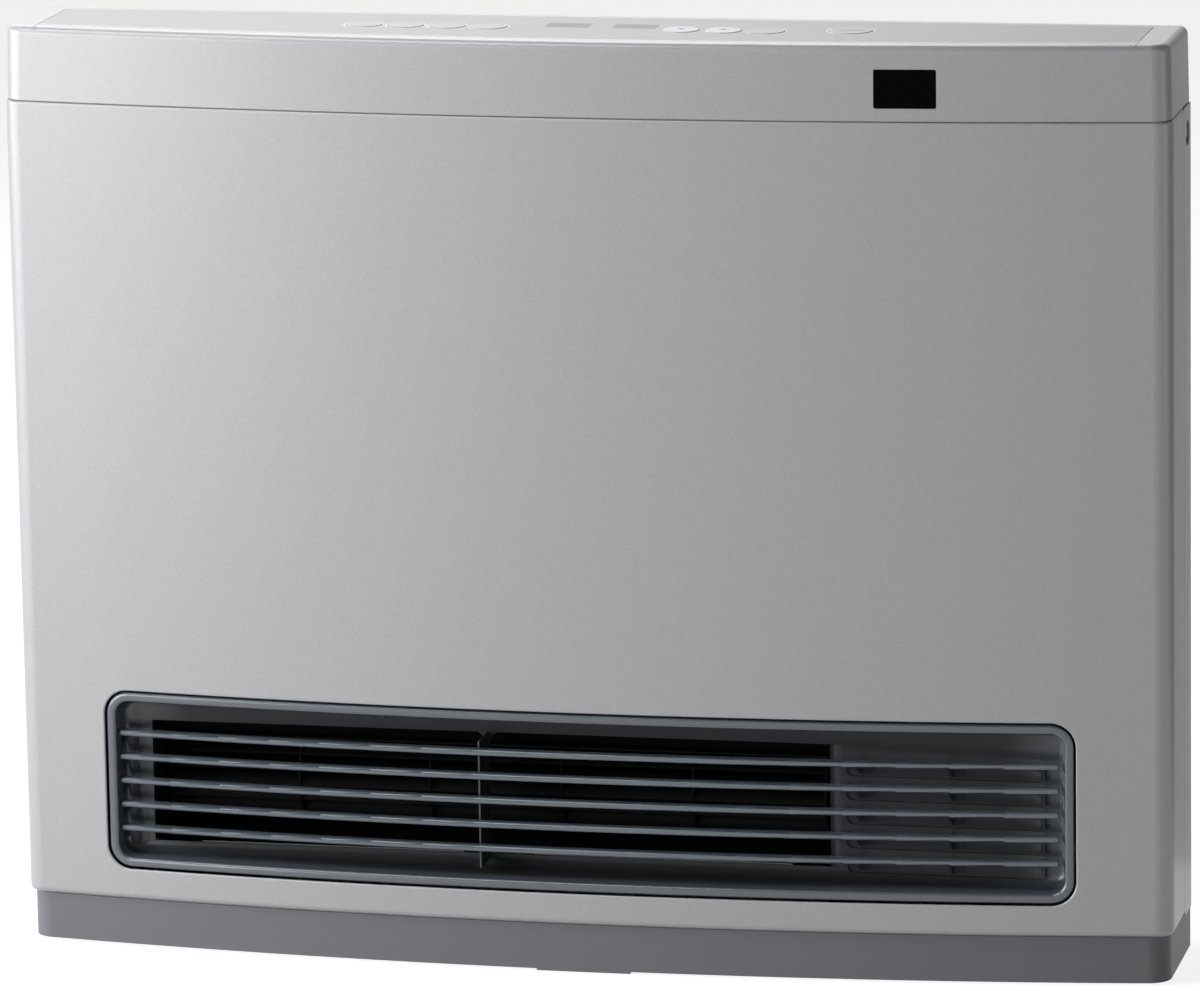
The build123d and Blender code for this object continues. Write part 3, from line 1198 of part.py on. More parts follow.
with BuildPart() as rear_case:
    box_between((-WIDTH / 2, STRIP_FRONT, PANEL_BOTTOM), (WIDTH / 2, BACK, SEAM_HEIGHT))
    fillet(rear_case.edges().filter_by(Axis.Z).sort_by(Axis.Y)[-2:], 3)
    box_between((-BOX_HALF_WIDTH, STRIP_FRONT, FOOT_HEIGHT + PAN_SHEET), (BOX_HALF_WIDTH, REAR, BOX_TOP))
    fillet(rear_case.edges().filter_by(Axis.Z).sort_by(Axis.Y)[-2:], 3)
    box_between((-WIDTH / 2 + SHEET, STRIP_FRONT, PANEL_BOTTOM + SHEET),
                (WIDTH / 2 - SHEET, BACK - SHEET, SEAM_HEIGHT - SHEET), mode=Mode.SUBTRACT)
    box_between((-WIDTH / 2 + FLANGE, STRIP_FRONT, PAN_TOP - PAN_SHEET),
                (WIDTH / 2 - FLANGE, BACK - SHEET, SEAM_HEIGHT), mode=Mode.SUBTRACT)
    box_between((-BOX_HALF_WIDTH + SHEET, STRIP_FRONT, FOOT_HEIGHT),
                (BOX_HALF_WIDTH - SHEET, REAR_INSIDE, BOX_TOP - SHEET), mode=Mode.SUBTRACT)
    with BuildSketch(front_plane(REAR)):
        with Locations(*[(x, FILTER_MIDDLE) for x in FILTER_CENTRES]):
            with GridLocations(GRILLE_PITCH_X, GRILLE_PITCH_Z, GRILLE_COLUMNS, GRILLE_ROWS):
                Rectangle(GRILLE_SLOT_WIDTH, GRILLE_SLOT_HEIGHT)
        with Locations((INLET_X, INLET_Z)):
            Circle(INLET_RADIUS + SEAT_GAP)
        with Locations((GLAND_X, GLAND_Z)):
            Circle(GLAND_RADIUS)
    extrude(amount=SHEET, mode=Mode.SUBTRACT)
    for filter_x in FILTER_CENTRES:
        half = FILTER_WIDTH / 2 + FILTER_FIT
        for side in (-1, 1):
            wall_x = filter_x + side * (half + RAIL_WALL / 2)
            lip_x = filter_x + side * (half + RAIL_WALL - RAIL_LIP / 2)
            box_between((wall_x - RAIL_WALL / 2, REAR, FILTER_BOTTOM - FILTER_FIT - RAIL_WALL),
                        (wall_x + RAIL_WALL / 2, REAR + RAIL_REACH + RAIL_WALL, FILTER_BOTTOM + FILTER_HEIGHT * 0.8))
            box_between((lip_x - RAIL_LIP / 2, REAR + RAIL_REACH, FILTER_BOTTOM - FILTER_FIT - RAIL_WALL),
                        (lip_x + RAIL_LIP / 2, REAR + RAIL_REACH + RAIL_WALL, FILTER_BOTTOM + FILTER_HEIGHT * 0.8))
        box_between((filter_x - half, REAR, FILTER_BOTTOM - FILTER_FIT - RAIL_WALL),
                    (filter_x + half, REAR + RAIL_REACH, FILTER_BOTTOM - FILTER_FIT))
    for side in (-1, 1):
        recess = Plane(origin=(side * WIDTH / 2, BACK - RECESS_FROM_BACK, RECESS_Z),
                       x_dir=(0, 1, 0), z_dir=(side, 0, 0))
        with BuildSketch(recess):
            Circle(RECESS_RADIUS + SHEET)
        extrude(amount=-RECESS_DEPTH - SHEET)
        with BuildSketch(recess):
            Circle(RECESS_RADIUS)
        extrude(amount=-RECESS_DEPTH, mode=Mode.SUBTRACT)
save(rear_case, "rear_case")


# Air filters
def make_filter(x):
    """Lift-out filter: a frame with ribs, a fine mesh sheet and a pull tab."""
    with BuildPart() as air_filter:
        with BuildSketch(front_plane(FILTER_FACE + FILTER_THICKNESS)):
            with Locations((x, FILTER_MIDDLE)):
                Rectangle(FILTER_WIDTH, FILTER_HEIGHT)
                with GridLocations((FILTER_WIDTH - FILTER_FRAME) / 3, (FILTER_HEIGHT - FILTER_FRAME) / 5, 3, 5):
                    Rectangle((FILTER_WIDTH - FILTER_FRAME) / 3 - FILTER_RIB,
                              (FILTER_HEIGHT - FILTER_FRAME) / 5 - FILTER_RIB, mode=Mode.SUBTRACT)
        extrude(amount=FILTER_THICKNESS)
        box_between((x - FILTER_WIDTH / 2 + FILTER_RIB, FILTER_FACE, FILTER_BOTTOM + FILTER_RIB),
                    (x + FILTER_WIDTH / 2 - FILTER_RIB, FILTER_FACE + FILTER_MESH,
                     FILTER_BOTTOM + FILTER_HEIGHT - FILTER_RIB))
        box_between((x - FILTER_TAB / 2, FILTER_FACE, FILTER_BOTTOM + FILTER_HEIGHT),
                    (x + FILTER_TAB / 2, FILTER_FACE + FILTER_RIB, FILTER_BOTTOM + FILTER_HEIGHT + FILTER_FRAME))
    return air_filter


save(make_filter(FILTER_CENTRES[0]), "filter_left")
save(make_filter(FILTER_CENTRES[1]), "filter_right")

# Case screws
with BuildPart() as case_screws:
    for side in (-1, 1):
        seat = Plane(origin=(side * (WIDTH / 2 - RECESS_DEPTH), BACK - RECESS_FROM_BACK, RECESS_Z),
                     x_dir=(0, 1, 0), z_dir=(side, 0, 0))
        with BuildSketch(seat):
            Circle(SCREW_RADIUS)
        extrude(amount=SCREW_HEAD)
    with BuildSketch(front_plane(REAR)):
        for screw_x in BACK_SCREW_XS:
            for screw_z in BACK_SCREW_ZS:
                with Locations((screw_x, screw_z)):
                    Circle(SCREW_RADIUS)
    extrude(amount=-SCREW_HEAD)
save(case_screws, "case_screws")
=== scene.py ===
import json
import math

import bmesh
import bpy
from mathutils import Matrix, Vector


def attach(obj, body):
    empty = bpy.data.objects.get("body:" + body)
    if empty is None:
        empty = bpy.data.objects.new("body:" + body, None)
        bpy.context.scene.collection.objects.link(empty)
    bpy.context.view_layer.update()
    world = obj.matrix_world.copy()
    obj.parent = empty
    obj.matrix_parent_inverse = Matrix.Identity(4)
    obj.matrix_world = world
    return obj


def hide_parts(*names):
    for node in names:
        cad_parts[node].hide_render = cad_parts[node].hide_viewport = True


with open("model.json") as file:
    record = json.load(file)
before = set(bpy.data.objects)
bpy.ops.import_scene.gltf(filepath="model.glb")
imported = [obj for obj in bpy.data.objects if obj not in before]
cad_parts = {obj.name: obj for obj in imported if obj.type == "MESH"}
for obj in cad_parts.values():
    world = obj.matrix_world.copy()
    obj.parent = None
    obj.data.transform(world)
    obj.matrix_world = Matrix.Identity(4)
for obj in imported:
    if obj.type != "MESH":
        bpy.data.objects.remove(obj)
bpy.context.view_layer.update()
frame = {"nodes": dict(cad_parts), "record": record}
nodes = frame["nodes"]

# Camera, fitted to the photograph
CAMERA_PLACE = Vector((1.0864, -4.8862, 1.3582))
CAMERA_YAW = 0.21927
CAMERA_PITCH = 0.20949
CAMERA_ROLL = -0.01649
CAMERA_LENS = 239.9
SENSOR_WIDTH = 36.0

# Lamps: name, place, aim, width, height, power and colour
MIDDLE = (0, 0, 0.32)
LAMPS = (
    ("key_lamp", (-1.9, -2.1, 0.8), MIDDLE, 1.4, 1.4, 30.6, (0.98, 0.98, 1.0)),
    ("side_lamp", (-2.3, -0.8, 0.9), MIDDLE, 1.6, 1.6, 46.3, (0.955, 0.95, 1.0)),
    ("strip_lamp", (-0.9, -0.7, 2.0), (-0.9, 0, 0.32), 1.3, 0.4, 16.0, (0.96, 0.98, 1.0)),
    ("back_lamp", (-0.8, 1.5, 2.0), MIDDLE, 1.8, 1.8, 32.2, (1.0, 0.995, 0.995)),
    ("fill_lamp", (2.4, -0.5, 0.4), MIDDLE, 0.8, 0.8, 2.0, (1.0, 0.985, 0.965)),
)

# World: white to the first height of a direction, shaded from the second
OVERHEAD = (0.4, 0.75)
OVERHEAD_SHADE = 0.15

FLOOR_TONE = 0.35
FLOOR_GLOW = 0.86
FLOOR_REACH = 30.0

# Card that only reflections see: left, right, depth and top
CARD = (0.41, 2.0, 0.25, 0.9)
CARD_TONE = 0.2
CARD_GLOW = 0.35


def link_new(name, data):
    """New object in the scene."""
    piece = bpy.data.objects.new(name, data)
    bpy.context.scene.collection.objects.link(piece)
    return piece


def make_camera():
    """Camera at the photograph's place, looking a little left and down."""
    flat = math.cos(CAMERA_PITCH)
    forward = Vector((-math.sin(CAMERA_YAW) * flat, math.cos(CAMERA_YAW) * flat,
                      -math.sin(CAMERA_PITCH)))
    level_right = Vector((math.cos(CAMERA_YAW), math.sin(CAMERA_YAW), 0))
    level_up = level_right.cross(forward)
    right = math.cos(CAMERA_ROLL) * level_right + math.sin(CAMERA_ROLL) * level_up
    up = -math.sin(CAMERA_ROLL) * level_right + math.cos(CAMERA_ROLL) * level_up
    data = bpy.data.cameras.new("camera")
    data.lens = CAMERA_LENS
    data.sensor_fit = "HORIZONTAL"
    data.sensor_width = SENSOR_WIDTH
    camera = link_new("camera", data)
    turn = Matrix((right, up, -forward)).transposed().to_4x4()
    camera.matrix_world = Matrix.Translation(CAMERA_PLACE) @ turn
    bpy.context.scene.camera = camera


def make_lamp(name, place, aim, width, height, power, color):
    """Soft lamp aimed at a point."""
    data = bpy.data.lights.new(name, "AREA")
    data.shape = "RECTANGLE"
    data.size = width
    data.size_y = height
    data.energy = power
    data.color = color
    lamp = link_new(name, data)
    lamp.location = place
    lamp.rotation_mode = "QUATERNION"
    lamp.rotation_quaternion = (Vector(aim) - Vector(place)).to_track_quat("-Z", "Y")
    lamp.visible_camera = False


def add_math(tree, operation, first, second):
    """Math node on two sockets or numbers."""
    node = tree.nodes.new("ShaderNodeMath")
    node.operation = operation
    for socket, value in zip(node.inputs, (first, second)):
        if isinstance(value, (int, float)):
            socket.default_value = value
        else:
            tree.links.new(value, socket)
    return node.outputs[0]


def add_range(tree, factor, low, high, start=0.0, end=1.0):
    """Number that goes from low to high while a factor goes from start to end."""
    node = tree.nodes.new("ShaderNodeMapRange")
    node.inputs["From Min"].default_value = start
    node.inputs["From Max"].default_value = end
    node.inputs["To Min"].default_value = low
    node.inputs["To Max"].default_value = high
    tree.links.new(factor, node.inputs["Value"])
    return node.outputs["Result"]


def axis_value(tree, place, axis):
    """One coordinate of a place or direction."""
    split = tree.nodes.new("ShaderNodeSeparateXYZ")
    tree.links.new(place, split.inputs[0])
    return split.outputs[axis]


def seen_directly(tree):
    """1 on camera, glossy and transmission rays, otherwise 0."""
    path = tree.nodes.new("ShaderNodeLightPath").outputs
    seen = add_math(tree, "MAXIMUM", path["Is Camera Ray"], path["Is Glossy Ray"])
    return add_math(tree, "MAXIMUM", seen, path["Is Transmission Ray"])


def make_world():
    """World that is white where it is seen, shaded overhead, and gives no other light."""
    world = bpy.data.worlds.new("studio")
    world.use_nodes = True
    bpy.context.scene.world = world
    tree = world.node_tree
    background = tree.nodes["Background"]
    background.inputs["Color"].default_value = (1, 1, 1, 1)
    direction = tree.nodes.new("ShaderNodeTexCoord").outputs["Generated"]
    overhead = add_range(tree, axis_value(tree, direction, 2), 1.0, OVERHEAD_SHADE, *OVERHEAD)
    tree.links.new(add_math(tree, "MULTIPLY", seen_directly(tree), overhead),
                   background.inputs["Strength"])


def new_material(name):
    """Material with its node tree and its Principled shader."""
    material = bpy.data.materials.new(name)
    material.use_nodes = True
    return material, material.node_tree, material.node_tree.nodes["Principled BSDF"]


def stage_quad(name, corners, material):
    """Flat stage object with four corners."""
    mesh = bpy.data.meshes.new(name)
    mesh.from_pydata(corners, [], [(0, 1, 2, 3)])
    mesh.materials.append(material)
    piece = link_new(name, mesh)
    return piece


def make_floor():
    """Pale floor that keeps the object's shadow and ends in white."""
    material, tree, shader = new_material("floor_white")
    tree.nodes.remove(shader)
    diffuse = tree.nodes.new("ShaderNodeBsdfDiffuse")
    diffuse.inputs["Color"].default_value = (FLOOR_TONE, FLOOR_TONE, FLOOR_TONE, 1)
    glow = tree.nodes.new("ShaderNodeEmission")
    tree.links.new(add_math(tree, "MULTIPLY", seen_directly(tree), FLOOR_GLOW),
                   glow.inputs["Strength"])
    both = tree.nodes.new("ShaderNodeAddShader")
    tree.links.new(diffuse.outputs[0], both.inputs[0])
    tree.links.new(glow.outputs[0], both.inputs[1])
    tree.links.new(both.outputs[0], tree.nodes["Material Output"].inputs["Surface"])
    reach = FLOOR_REACH
    stage_quad("floor", [(-reach, -reach, 0), (reach, -reach, 0), (reach, reach, 0),
                         (-reach, reach, 0)], material)


def make_card():
    """Grey card behind at the right, so that the right side reflects less white."""
    material, _, shader = new_material("card_grey")
    shader.inputs["Base Color"].default_value = (CARD_TONE, CARD_TONE, CARD_TONE, 1)
    shader.inputs["Roughness"].default_value = 1.0
    shader.inputs["Emission Color"].default_value = (1, 1, 1, 1)
    shader.inputs["Emission Strength"].default_value = CARD_GLOW
    left, right, depth, top = CARD
    card = stage_quad("card", [(left, depth, 0), (right, depth, 0), (right, depth, top),
                               (left, depth, top)], material)
    card.visible_camera = False
    card.visible_shadow = False
    card.visible_diffuse = False
    card.visible_transmission = False


make_camera()
make_world()
make_floor()
make_card()
for lamp_row in LAMPS:
    make_lamp(*lamp_row)


# Materials: lengths in metres, colours linear
NOISE_DETAIL = 3.0
BUMP_STRENGTH = 0.5
COAT_ROUGHNESS = 0.2
# Grain of plain surfaces: size, depth, contrast, and spread of the roughness
GRAIN = 0.001
GRAIN_DEPTH = 0.00002
GRAIN_CONTRAST = 0.06
GRAIN_SPREAD = 0.15
FINE_GRAIN = 0.0005
FINE_DEPTH = 0.00001
# Silver paint
SILVER = (0.42, 0.42, 0.422)
SILVER_METAL = 0.25
SILVER_ROUGHNESS = (0.4, 0.5)
SILVER_COAT = 0.3
SILVER_CONTRAST = 0.1
SILVER_BUMP = 0.3
FLAKE = 0.0007
FLAKE_SHARE = 0.6
CLOUD = 0.002
CLOUD_SHARE = 0.4
# Louvre tray: its front tone and its inner tone, darker as painted shade down in the tray, the
# depths behind the bow where the first ends and the second begins, and how coat and gloss fall
# between them
LOUVRE_TONE_AND_PAINTED_SHADE = ((0.075, 0.094, 0.11), (0.036, 0.04, 0.042))
LOUVRE_SHADE_FALL = (-0.079, -0.068)
LOUVRE_BOW = 0.304
COAT_FALL = (1.0, 0.05)
SPECULAR_FALL = (0.6, 0.2)
LOUVRE_GRAIN = 0.0008
LOUVRE_CONTRAST = 0.05
LOUVRE_ROUGHNESS = (0.28, 0.36)
# Duct sheet: its tone, black deepened to near zero as painted shade, and the pale tone of the
# scroll's lips, bare cut edge and painted highlight; the heights of that pale band, and where
# it ends behind
DUCT_SHADE_AND_LIP_HIGHLIGHT = ((0.003, 0.003, 0.003), (0.35, 0.35, 0.34))
LIP_HIGHLIGHT_HEIGHTS = (0.0665, 0.0675)
LIP_HIGHLIGHT_BACK = -0.0425
DUCT_GLOSS = 0.1
DUCT_ROUGHNESS = (0.6, 0.75)
# Filter net with threads 2 mm apart: its tone and that of its threads
NET_TONES = ((0.008, 0.008, 0.009), (0.06, 0.06, 0.065))
NET_SCALE = 157.0
NET_SHARPNESS = 3
NET_ROUGHNESS = (0.7, 0.45)
NET_DEPTH = 0.0003


def start_material(name, metallic=0.0, coat=0.0, specular=0.5):
    """Material with one Principled shader and object coordinates."""
    material, tree, shader = new_material(name)
    shader.inputs["Metallic"].default_value = metallic
    shader.inputs["Coat Weight"].default_value = coat
    shader.inputs["Coat Roughness"].default_value = COAT_ROUGHNESS
    shader.inputs["Specular IOR Level"].default_value = specular
    place = tree.nodes.new("ShaderNodeTexCoord").outputs["Object"]
    return material, tree, shader, place


def add_noise(tree, place, size):
    """Cloudy noise with features of about this size."""
    noise = tree.nodes.new("ShaderNodeTexNoise")
    noise.inputs["Scale"].default_value = 1 / size
    noise.inputs["Detail"].default_value = NOISE_DETAIL
    tree.links.new(place, noise.inputs["Vector"])
    return noise.outputs["Fac"]


def add_cells(tree, place, size):
    """Random grey for each small cell."""
    cells = tree.nodes.new("ShaderNodeTexVoronoi")
    cells.inputs["Scale"].default_value = 1 / size
    tree.links.new(place, cells.inputs["Vector"])
    split = tree.nodes.new("ShaderNodeSeparateColor")
    tree.links.new(cells.outputs["Color"], split.inputs["Color"])
    return split.outputs[0]


def add_mix(tree, factor, first, second):
    """Colour between two colours or sockets."""
    node = tree.nodes.new("ShaderNodeMix")
    node.data_type = "RGBA"
    tree.links.new(factor, node.inputs["Factor"])
    for socket, value in ((node.inputs["A"], first), (node.inputs["B"], second)):
        if isinstance(value, tuple):
            socket.default_value = (*value, 1)
        else:
            tree.links.new(value, socket)
    return node.outputs["Result"]


def add_tint(tree, factor, color, contrast):
    """One colour, darker and lighter with a factor."""
    return add_mix(tree, factor, tuple(c * (1 - contrast) for c in color),
                   tuple(c * (1 + contrast) for c in color))


def finish_look(tree, shader, color, height, roughness, depth, strength=BUMP_STRENGTH):
    """Join colour, roughness and fine relief to the shader."""
    tree.links.new(color, shader.inputs["Base Color"])
    tree.links.new(roughness, shader.inputs["Roughness"])
    bump = tree.nodes.new("ShaderNodeBump")
    bump.inputs["Distance"].default_value = depth
    bump.inputs["Strength"].default_value = strength
    tree.links.new(height, bump.inputs["Height"])
    tree.links.new(bump.outputs["Normal"], shader.inputs["Normal"])


def silver_paint(name):
    """Metallic paint: fine flakes over a base with a slight cloudiness."""
    material, tree, shader, place = start_material(name, SILVER_METAL, SILVER_COAT)
    flakes = add_cells(tree, place, FLAKE)
    cloud = add_noise(tree, place, CLOUD)
    tone = add_math(tree, "ADD", add_math(tree, "MULTIPLY", flakes, FLAKE_SHARE),
                    add_math(tree, "MULTIPLY", cloud, CLOUD_SHARE))
    finish_look(tree, shader, add_tint(tree, tone, SILVER, SILVER_CONTRAST), tone,
                add_range(tree, flakes, *SILVER_ROUGHNESS), FINE_DEPTH, SILVER_BUMP)
    return material


def grained(name, color, metallic=0.0, roughness=0.5, grain=GRAIN, depth=GRAIN_DEPTH,
            contrast=GRAIN_CONTRAST, coat=0.0, specular=0.5):
    """Surface with a fine grain in its colour, roughness and relief."""
    material, tree, shader, place = start_material(name, metallic, coat, specular)
    height = add_noise(tree, place, grain)
    spread = add_range(tree, height, roughness * (1 - GRAIN_SPREAD),
                       roughness * (1 + GRAIN_SPREAD))
    finish_look(tree, shader, add_tint(tree, height, color, contrast), height, spread, depth)
    return material


def louvre_plastic(name, front, painted_shade_inside):
    """Satin plastic, lighter at the front, with painted shade making it darker down in the
    tray.
    """
    material, tree, shader, place = start_material(name)
    across = axis_value(tree, place, 0)
    bow = add_math(tree, "MULTIPLY", add_math(tree, "MULTIPLY", across, across), LOUVRE_BOW)
    behind = add_math(tree, "SUBTRACT", axis_value(tree, place, 1), bow)
    shade_fall = add_range(tree, behind, 0.0, 1.0, *LOUVRE_SHADE_FALL)
    for socket, ends in (("Coat Weight", COAT_FALL), ("Specular IOR Level", SPECULAR_FALL)):
        tree.links.new(add_range(tree, shade_fall, *ends), shader.inputs[socket])
    grain = add_noise(tree, place, LOUVRE_GRAIN)
    # the inner tone is painted shade, mixed in with depth behind the bow; coat and gloss fall
    # with it
    color = add_mix(tree, shade_fall, add_tint(tree, grain, front, LOUVRE_CONTRAST),
                    add_tint(tree, grain, painted_shade_inside, LOUVRE_CONTRAST))
    finish_look(tree, shader, color, grain, add_range(tree, grain, *LOUVRE_ROUGHNESS),
                FINE_DEPTH)
    return material


def duct_sheet(name, color, lip_edge_and_highlight):
    """Near-black sheet, deepened as painted shade, with a pale band along the lips where the
    scroll meets the louvre tray: bare cut edge and painted highlight.
    """
    material, tree, shader, place = start_material(name, specular=DUCT_GLOSS)
    height = axis_value(tree, place, 2)
    # pale band on the lips' top edges: bare cut edge and painted highlight
    bottom, top = LIP_HIGHLIGHT_HEIGHTS
    level = add_math(tree, "MULTIPLY", add_math(tree, "GREATER_THAN", height, bottom),
                     add_math(tree, "LESS_THAN", height, top))
    lip_highlight_mask = add_math(tree, "MULTIPLY", level,
                   add_math(tree, "LESS_THAN", axis_value(tree, place, 1), LIP_HIGHLIGHT_BACK))
    grain = add_noise(tree, place, GRAIN)
    finish_look(tree, shader, add_mix(tree, lip_highlight_mask, color, lip_edge_and_highlight), grain,
                add_range(tree, grain, *DUCT_ROUGHNESS), GRAIN_DEPTH)
    return material


def filter_net(name, color, thread_color):
    """Fine square net in plastic."""
    material, tree, shader, place = start_material(name)
    threads = []
    for direction in ("X", "Z"):
        wave = tree.nodes.new("ShaderNodeTexWave")
        wave.wave_type = "BANDS"
        wave.bands_direction = direction
        wave.inputs["Scale"].default_value = NET_SCALE
        tree.links.new(place, wave.inputs["Vector"])
        threads.append(add_math(tree, "POWER", wave.outputs["Fac"], NET_SHARPNESS))
    net = add_math(tree, "MAXIMUM", *threads)
    finish_look(tree, shader, add_mix(tree, net, color, thread_color), net,
                add_range(tree, net, *NET_ROUGHNESS), NET_DEPTH)
    return material


# Plain looks: slot, colour and what differs from a plain grained surface
GRAINED = (
    ("overlay_film", (0.45, 0.44, 0.442),
     dict(metallic=0.1, roughness=0.55, grain=FINE_GRAIN, depth=FINE_DEPTH)),
    ("key_grey", (0.46, 0.45, 0.452),
     dict(metallic=0.1, grain=FINE_GRAIN, depth=FINE_DEPTH)),
    ("key_white", (0.6, 0.6, 0.62), dict(roughness=0.4)),
    ("display_black", (0.002, 0.002, 0.002), dict(roughness=0.2, depth=0.0, specular=0.02)),
    ("lcd_grey", (0.22, 0.218, 0.216), dict(roughness=0.4, depth=0.0, specular=0.2)),
    ("indicator_clear", (0.5, 0.42, 0.4), dict(roughness=0.3, depth=0.0)),
    ("plinth_grey", (0.175, 0.178, 0.188), dict(grain=0.0007, depth=0.00003)),
    ("rubber_black", (0.02, 0.02, 0.02), dict(roughness=0.8)),
    ("bare_sheet", (0.42, 0.42, 0.42),
     dict(metallic=0.9, roughness=0.4, grain=0.006, contrast=0.15)),
    # fan_black: black deepened to near zero as painted shade inside the duct
    ("fan_black", (0.002, 0.002, 0.002), dict(roughness=0.7, specular=0.1)),
    ("steel", (0.45, 0.45, 0.46), dict(metallic=0.9, roughness=0.35)),
    ("bearing_brass", (0.6, 0.45, 0.2), dict(metallic=0.95, roughness=0.35)),
    ("burner_steel", (0.4, 0.38, 0.36), dict(metallic=0.9, roughness=0.4, grain=0.003)),
    ("valve_cast", (0.5, 0.5, 0.51), dict(metallic=0.9, depth=0.00005)),
    ("rod_ceramic", (0.8, 0.79, 0.75), dict(roughness=0.25)),
    ("board_green", (0.02, 0.12, 0.05), dict(roughness=0.3, grain=0.002)),
    ("inner_plastic", (0.1, 0.1, 0.1), {}),
)
looks = {slot: grained(slot, color, **rest) for slot, color, rest in GRAINED}
looks["silver_paint"] = silver_paint("silver_paint")
looks["cover_paint"] = silver_paint("cover_paint")
looks["louvre_grey"] = louvre_plastic("louvre_grey", *LOUVRE_TONE_AND_PAINTED_SHADE)
looks["duct_black"] = duct_sheet("duct_black", *DUCT_SHADE_AND_LIP_HIGHLIGHT)
looks["filter_plastic"] = filter_net("filter_plastic", *NET_TONES)
ring_ink = grained("ring_ink", (0.85, 0.85, 0.86))
mark_ink = grained("mark_ink", (0.16, 0.15, 0.16), roughness=0.6)
seam_shade = grained("seam_shade", (0.1, 0.1, 0.1), roughness=0.8)
blade_satin = grained("blade_satin", (0.1, 0.125, 0.148), roughness=0.34, grain=LOUVRE_GRAIN,
                      depth=FINE_DEPTH, coat=1.0)
for entry in frame["record"]["subparts"]:
    node = nodes[entry["node"]]
    node.data.materials.clear()
    is_blade = entry["node"].startswith("louvre_blade")
    node.data.materials.append(blade_satin if is_blade else looks[entry["material_slot"]])


# Marks on the control overlay
WELD = 1e-7
KEY_ROW_Y = -0.0266
RING_KEYS_X = (-0.1446, -0.1175, -0.0904, -0.0633, 0.115)
RING = (0.0121, 0.0131)
DOWN_X, UP_X = 0.0601, 0.0873
POWER_PLACE = (0.1673, -0.0187)
POWER_RING = (0.0144, 0.0155)
FILM_TOP = 0.6
KEY_TOP = 0.6004
INK = 0.00001
RING_STEPS = 72
# Arrow: half width, base and tip from its middle line
ARROW_Y = KEY_ROW_Y + 0.002
ARROW_HALF = 0.0028
ARROW_BASE = 0.0018
ARROW_TIP = 0.0022
LETTER_SIZE = 0.0052
SEAM = 0.0004
SEAM_INSET = 0.002


def finish_piece(name, work, look, body):
    """Turn a bmesh into a piece that moves with a body."""
    bmesh.ops.remove_doubles(work, verts=work.verts, dist=WELD)
    bmesh.ops.recalc_face_normals(work, faces=work.faces)
    mesh = bpy.data.meshes.new(name)
    work.to_mesh(mesh)
    work.free()
    mesh.materials.append(look)
    piece = link_new(name, mesh)
    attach(piece, body)
    return piece


def add_circle(work, placement, radius, level, steps):
    """Ring of new vertices about the Z axis of a placement."""
    angles = [2 * math.pi * step / steps for step in range(steps)]
    return [work.verts.new(placement @ Vector((radius * math.cos(angle),
                                               radius * math.sin(angle), level)))
            for angle in angles]


def add_band(work, first, second):
    """Quads between two closed loops of vertices."""
    count = len(first)
    for step in range(count):
        after = (step + 1) % count
        work.faces.new((first[step], first[after], second[after], second[step]))


def add_plate(work, outline, low, high):
    """Closed flat plate over an outline."""
    under = [work.verts.new((x, y, low)) for x, y in outline]
    over = [work.verts.new((x, y, high)) for x, y in outline]
    work.faces.new(over)
    work.faces.new(under[::-1])
    add_band(work, under, over)


def add_ring(work, centre, radii, low, high):
    """Closed flat ring."""
    placement = Matrix.Translation((*centre, 0))
    inner_low, inner_high, outer_low, outer_high = [
        add_circle(work, placement, radius, level, RING_STEPS)
        for radius in radii for level in (low, high)]
    for first, second in ((inner_low, outer_low), (outer_low, outer_high),
                          (outer_high, inner_high), (inner_high, inner_low)):
        add_band(work, first, second)


work = bmesh.new()
for key_x in RING_KEYS_X:
    add_ring(work, (key_x, KEY_ROW_Y), RING, FILM_TOP, FILM_TOP + INK)
add_ring(work, POWER_PLACE, POWER_RING, FILM_TOP, FILM_TOP + INK)
finish_piece("key_rings", work, ring_ink, "cabinet")

# Arrows on the two white keys
for name, body, key_x, turn in (("down_arrow", "down_key", DOWN_X, -1),
                                ("up_arrow", "up_key", UP_X, 1)):
    work = bmesh.new()
    base = ARROW_Y - turn * ARROW_BASE
    corners = [(key_x - ARROW_HALF, base), (key_x + ARROW_HALF, base),
               (key_x, ARROW_Y + turn * ARROW_TIP)]
    add_plate(work, corners[::turn], KEY_TOP, KEY_TOP + INK)
    finish_piece(name, work, mark_ink, body)

# ON/OFF on the power key
letters = bpy.data.curves.new("power_letters", "FONT")
letters.body = "ON/OFF"
letters.size = LETTER_SIZE
letters.align_x = "CENTER"
letters.align_y = "CENTER"
letters.extrude = INK / 2
letter_piece = link_new("power_letters", letters)
letter_mesh = bpy.data.meshes.new_from_object(
    letter_piece.evaluated_get(bpy.context.evaluated_depsgraph_get()))
bpy.data.objects.remove(letter_piece)
work = bmesh.new()
work.from_mesh(letter_mesh)
bmesh.ops.translate(work, verts=work.verts, vec=(*POWER_PLACE, KEY_TOP + INK / 2))
finish_piece("power_mark", work, mark_ink, "power_key")

# Seams at the two ends of the overlay, drawn as thin strips of painted shade
film_corners = nodes["control_overlay"].bound_box
film_left, film_right = (pick(corner[0] for corner in film_corners) for pick in (min, max))
film_front, film_back = (pick(corner[1] for corner in film_corners) for pick in (min, max))
seam_front, seam_back = film_front + SEAM_INSET, film_back - SEAM_INSET
work = bmesh.new()
for near, far in ((film_left, film_left + SEAM), (film_right - SEAM, film_right)):
    add_plate(work, ((near, seam_front), (far, seam_front), (far, seam_back),
                     (near, seam_back)), FILM_TOP, FILM_TOP + INK)
finish_piece("overlay_seams", work, seam_shade, "cabinet")

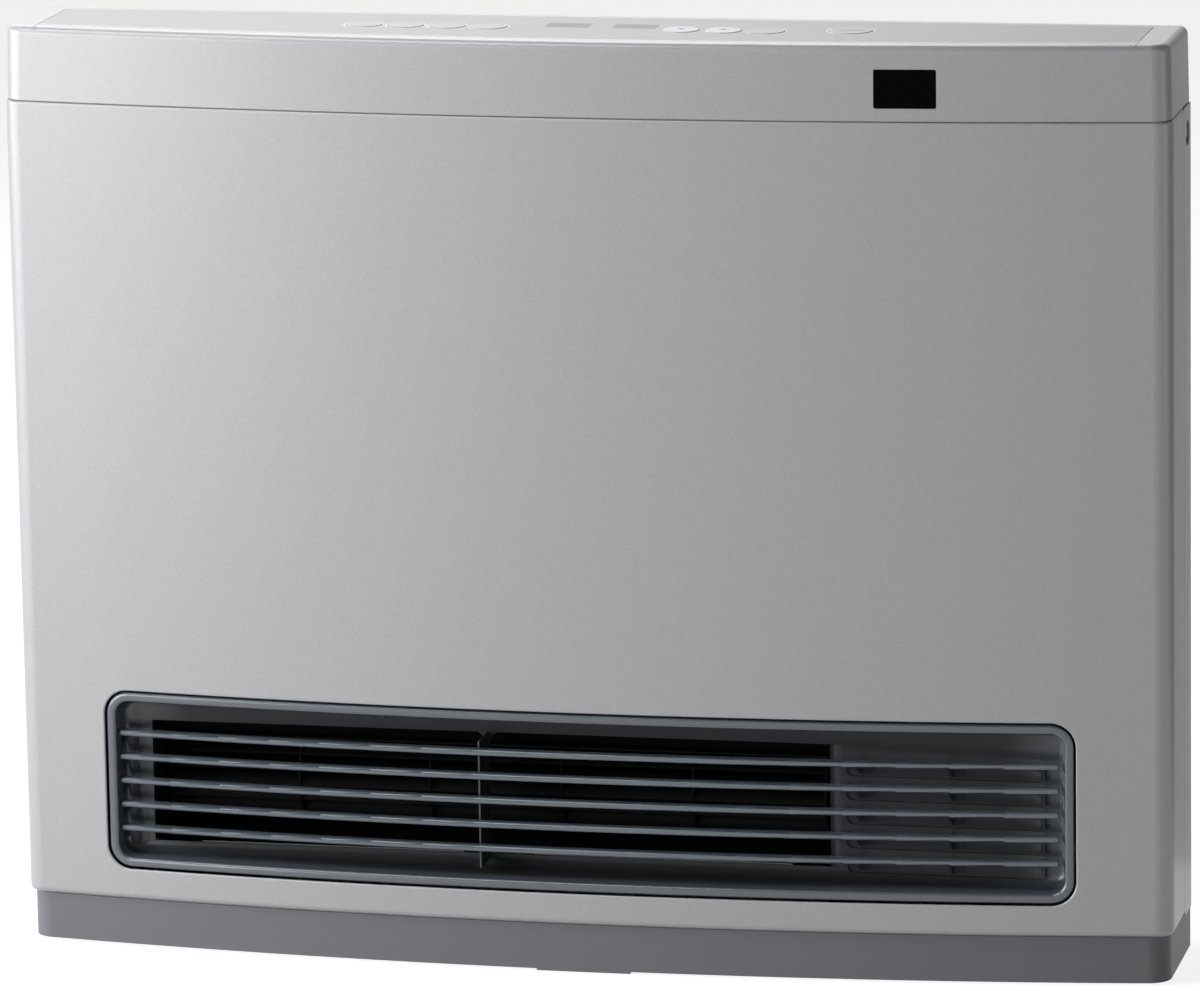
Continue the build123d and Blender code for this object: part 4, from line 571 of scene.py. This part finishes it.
# Screw heads with a cross recess: level below the top and share of the radius of each ring
HEAD_RADIUS = 0.0036
HEAD_STEPS = 32
HEAD_RINGS = ((-0.0022, 1.0), (-0.0007, 1.0), (-0.0002, 0.9), (0.0, 0.72))
CROSS_ARM = 0.0019
CROSS_HALF = 0.00042
CROSS_DEPTH = -0.0013
CROSS_TAPER = 0.75
SIDE_X, SIDE_Y, SIDE_Z = 0.3742, 0.01175, 0.5346
BACK_X, BACK_Y, BACK_HEIGHTS = 0.343, 0.06995, (0.03, 0.28, 0.53)


def add_head(work, placement):
    """Pan head with a cross recess, facing +Z before it is placed."""
    rings = [add_circle(work, placement, HEAD_RADIUS * share, level, HEAD_STEPS)
             for level, share in HEAD_RINGS]
    work.faces.new(rings[0][::-1])
    for low, high in zip(rings, rings[1:]):
        add_band(work, low, high)
    half, arm = CROSS_HALF, CROSS_ARM
    corners = [(arm, -half), (arm, half), (half, half),
               (half, arm), (-half, arm), (-half, half),
               (-arm, half), (-arm, -half), (-half, -half),
               (-half, -arm), (half, -arm), (half, -half)]
    count = len(corners)
    mouth = [work.verts.new(placement @ Vector((x, y, 0))) for x, y in corners]
    deep = [work.verts.new(placement @ Vector((x * CROSS_TAPER, y * CROSS_TAPER, CROSS_DEPTH)))
            for x, y in corners]
    rim = [work.edges.new((mouth[step - 1], mouth[step])) for step in range(count)]
    rim += [work.edges.get((rings[-1][step - 1], rings[-1][step]))
            for step in range(HEAD_STEPS)]
    bmesh.ops.triangle_fill(work, use_beauty=True, edges=rim)
    for step in range(count):
        work.faces.new((mouth[step - 1], mouth[step], deep[step], deep[step - 1]))
    inner = range(2, count, 3)
    work.faces.new([deep[step] for step in inner])
    for step in inner:
        work.faces.new([deep[step - 2], deep[step - 1], deep[step], deep[step - 3]])


work = bmesh.new()
for side in (-1, 1):
    outward = Matrix.Rotation(side * math.pi / 2, 4, "Y")
    add_head(work, Matrix.Translation((side * SIDE_X, SIDE_Y, SIDE_Z)) @ outward)
    backward = Matrix.Rotation(-math.pi / 2, 4, "X")
    for height in BACK_HEIGHTS:
        add_head(work, Matrix.Translation((side * BACK_X, BACK_Y, height)) @ backward)
heads = finish_piece("case_screw_heads", work, looks["steel"], "cabinet")
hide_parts("case_screws")

bpy.context.scene.view_settings.view_transform = "Standard"
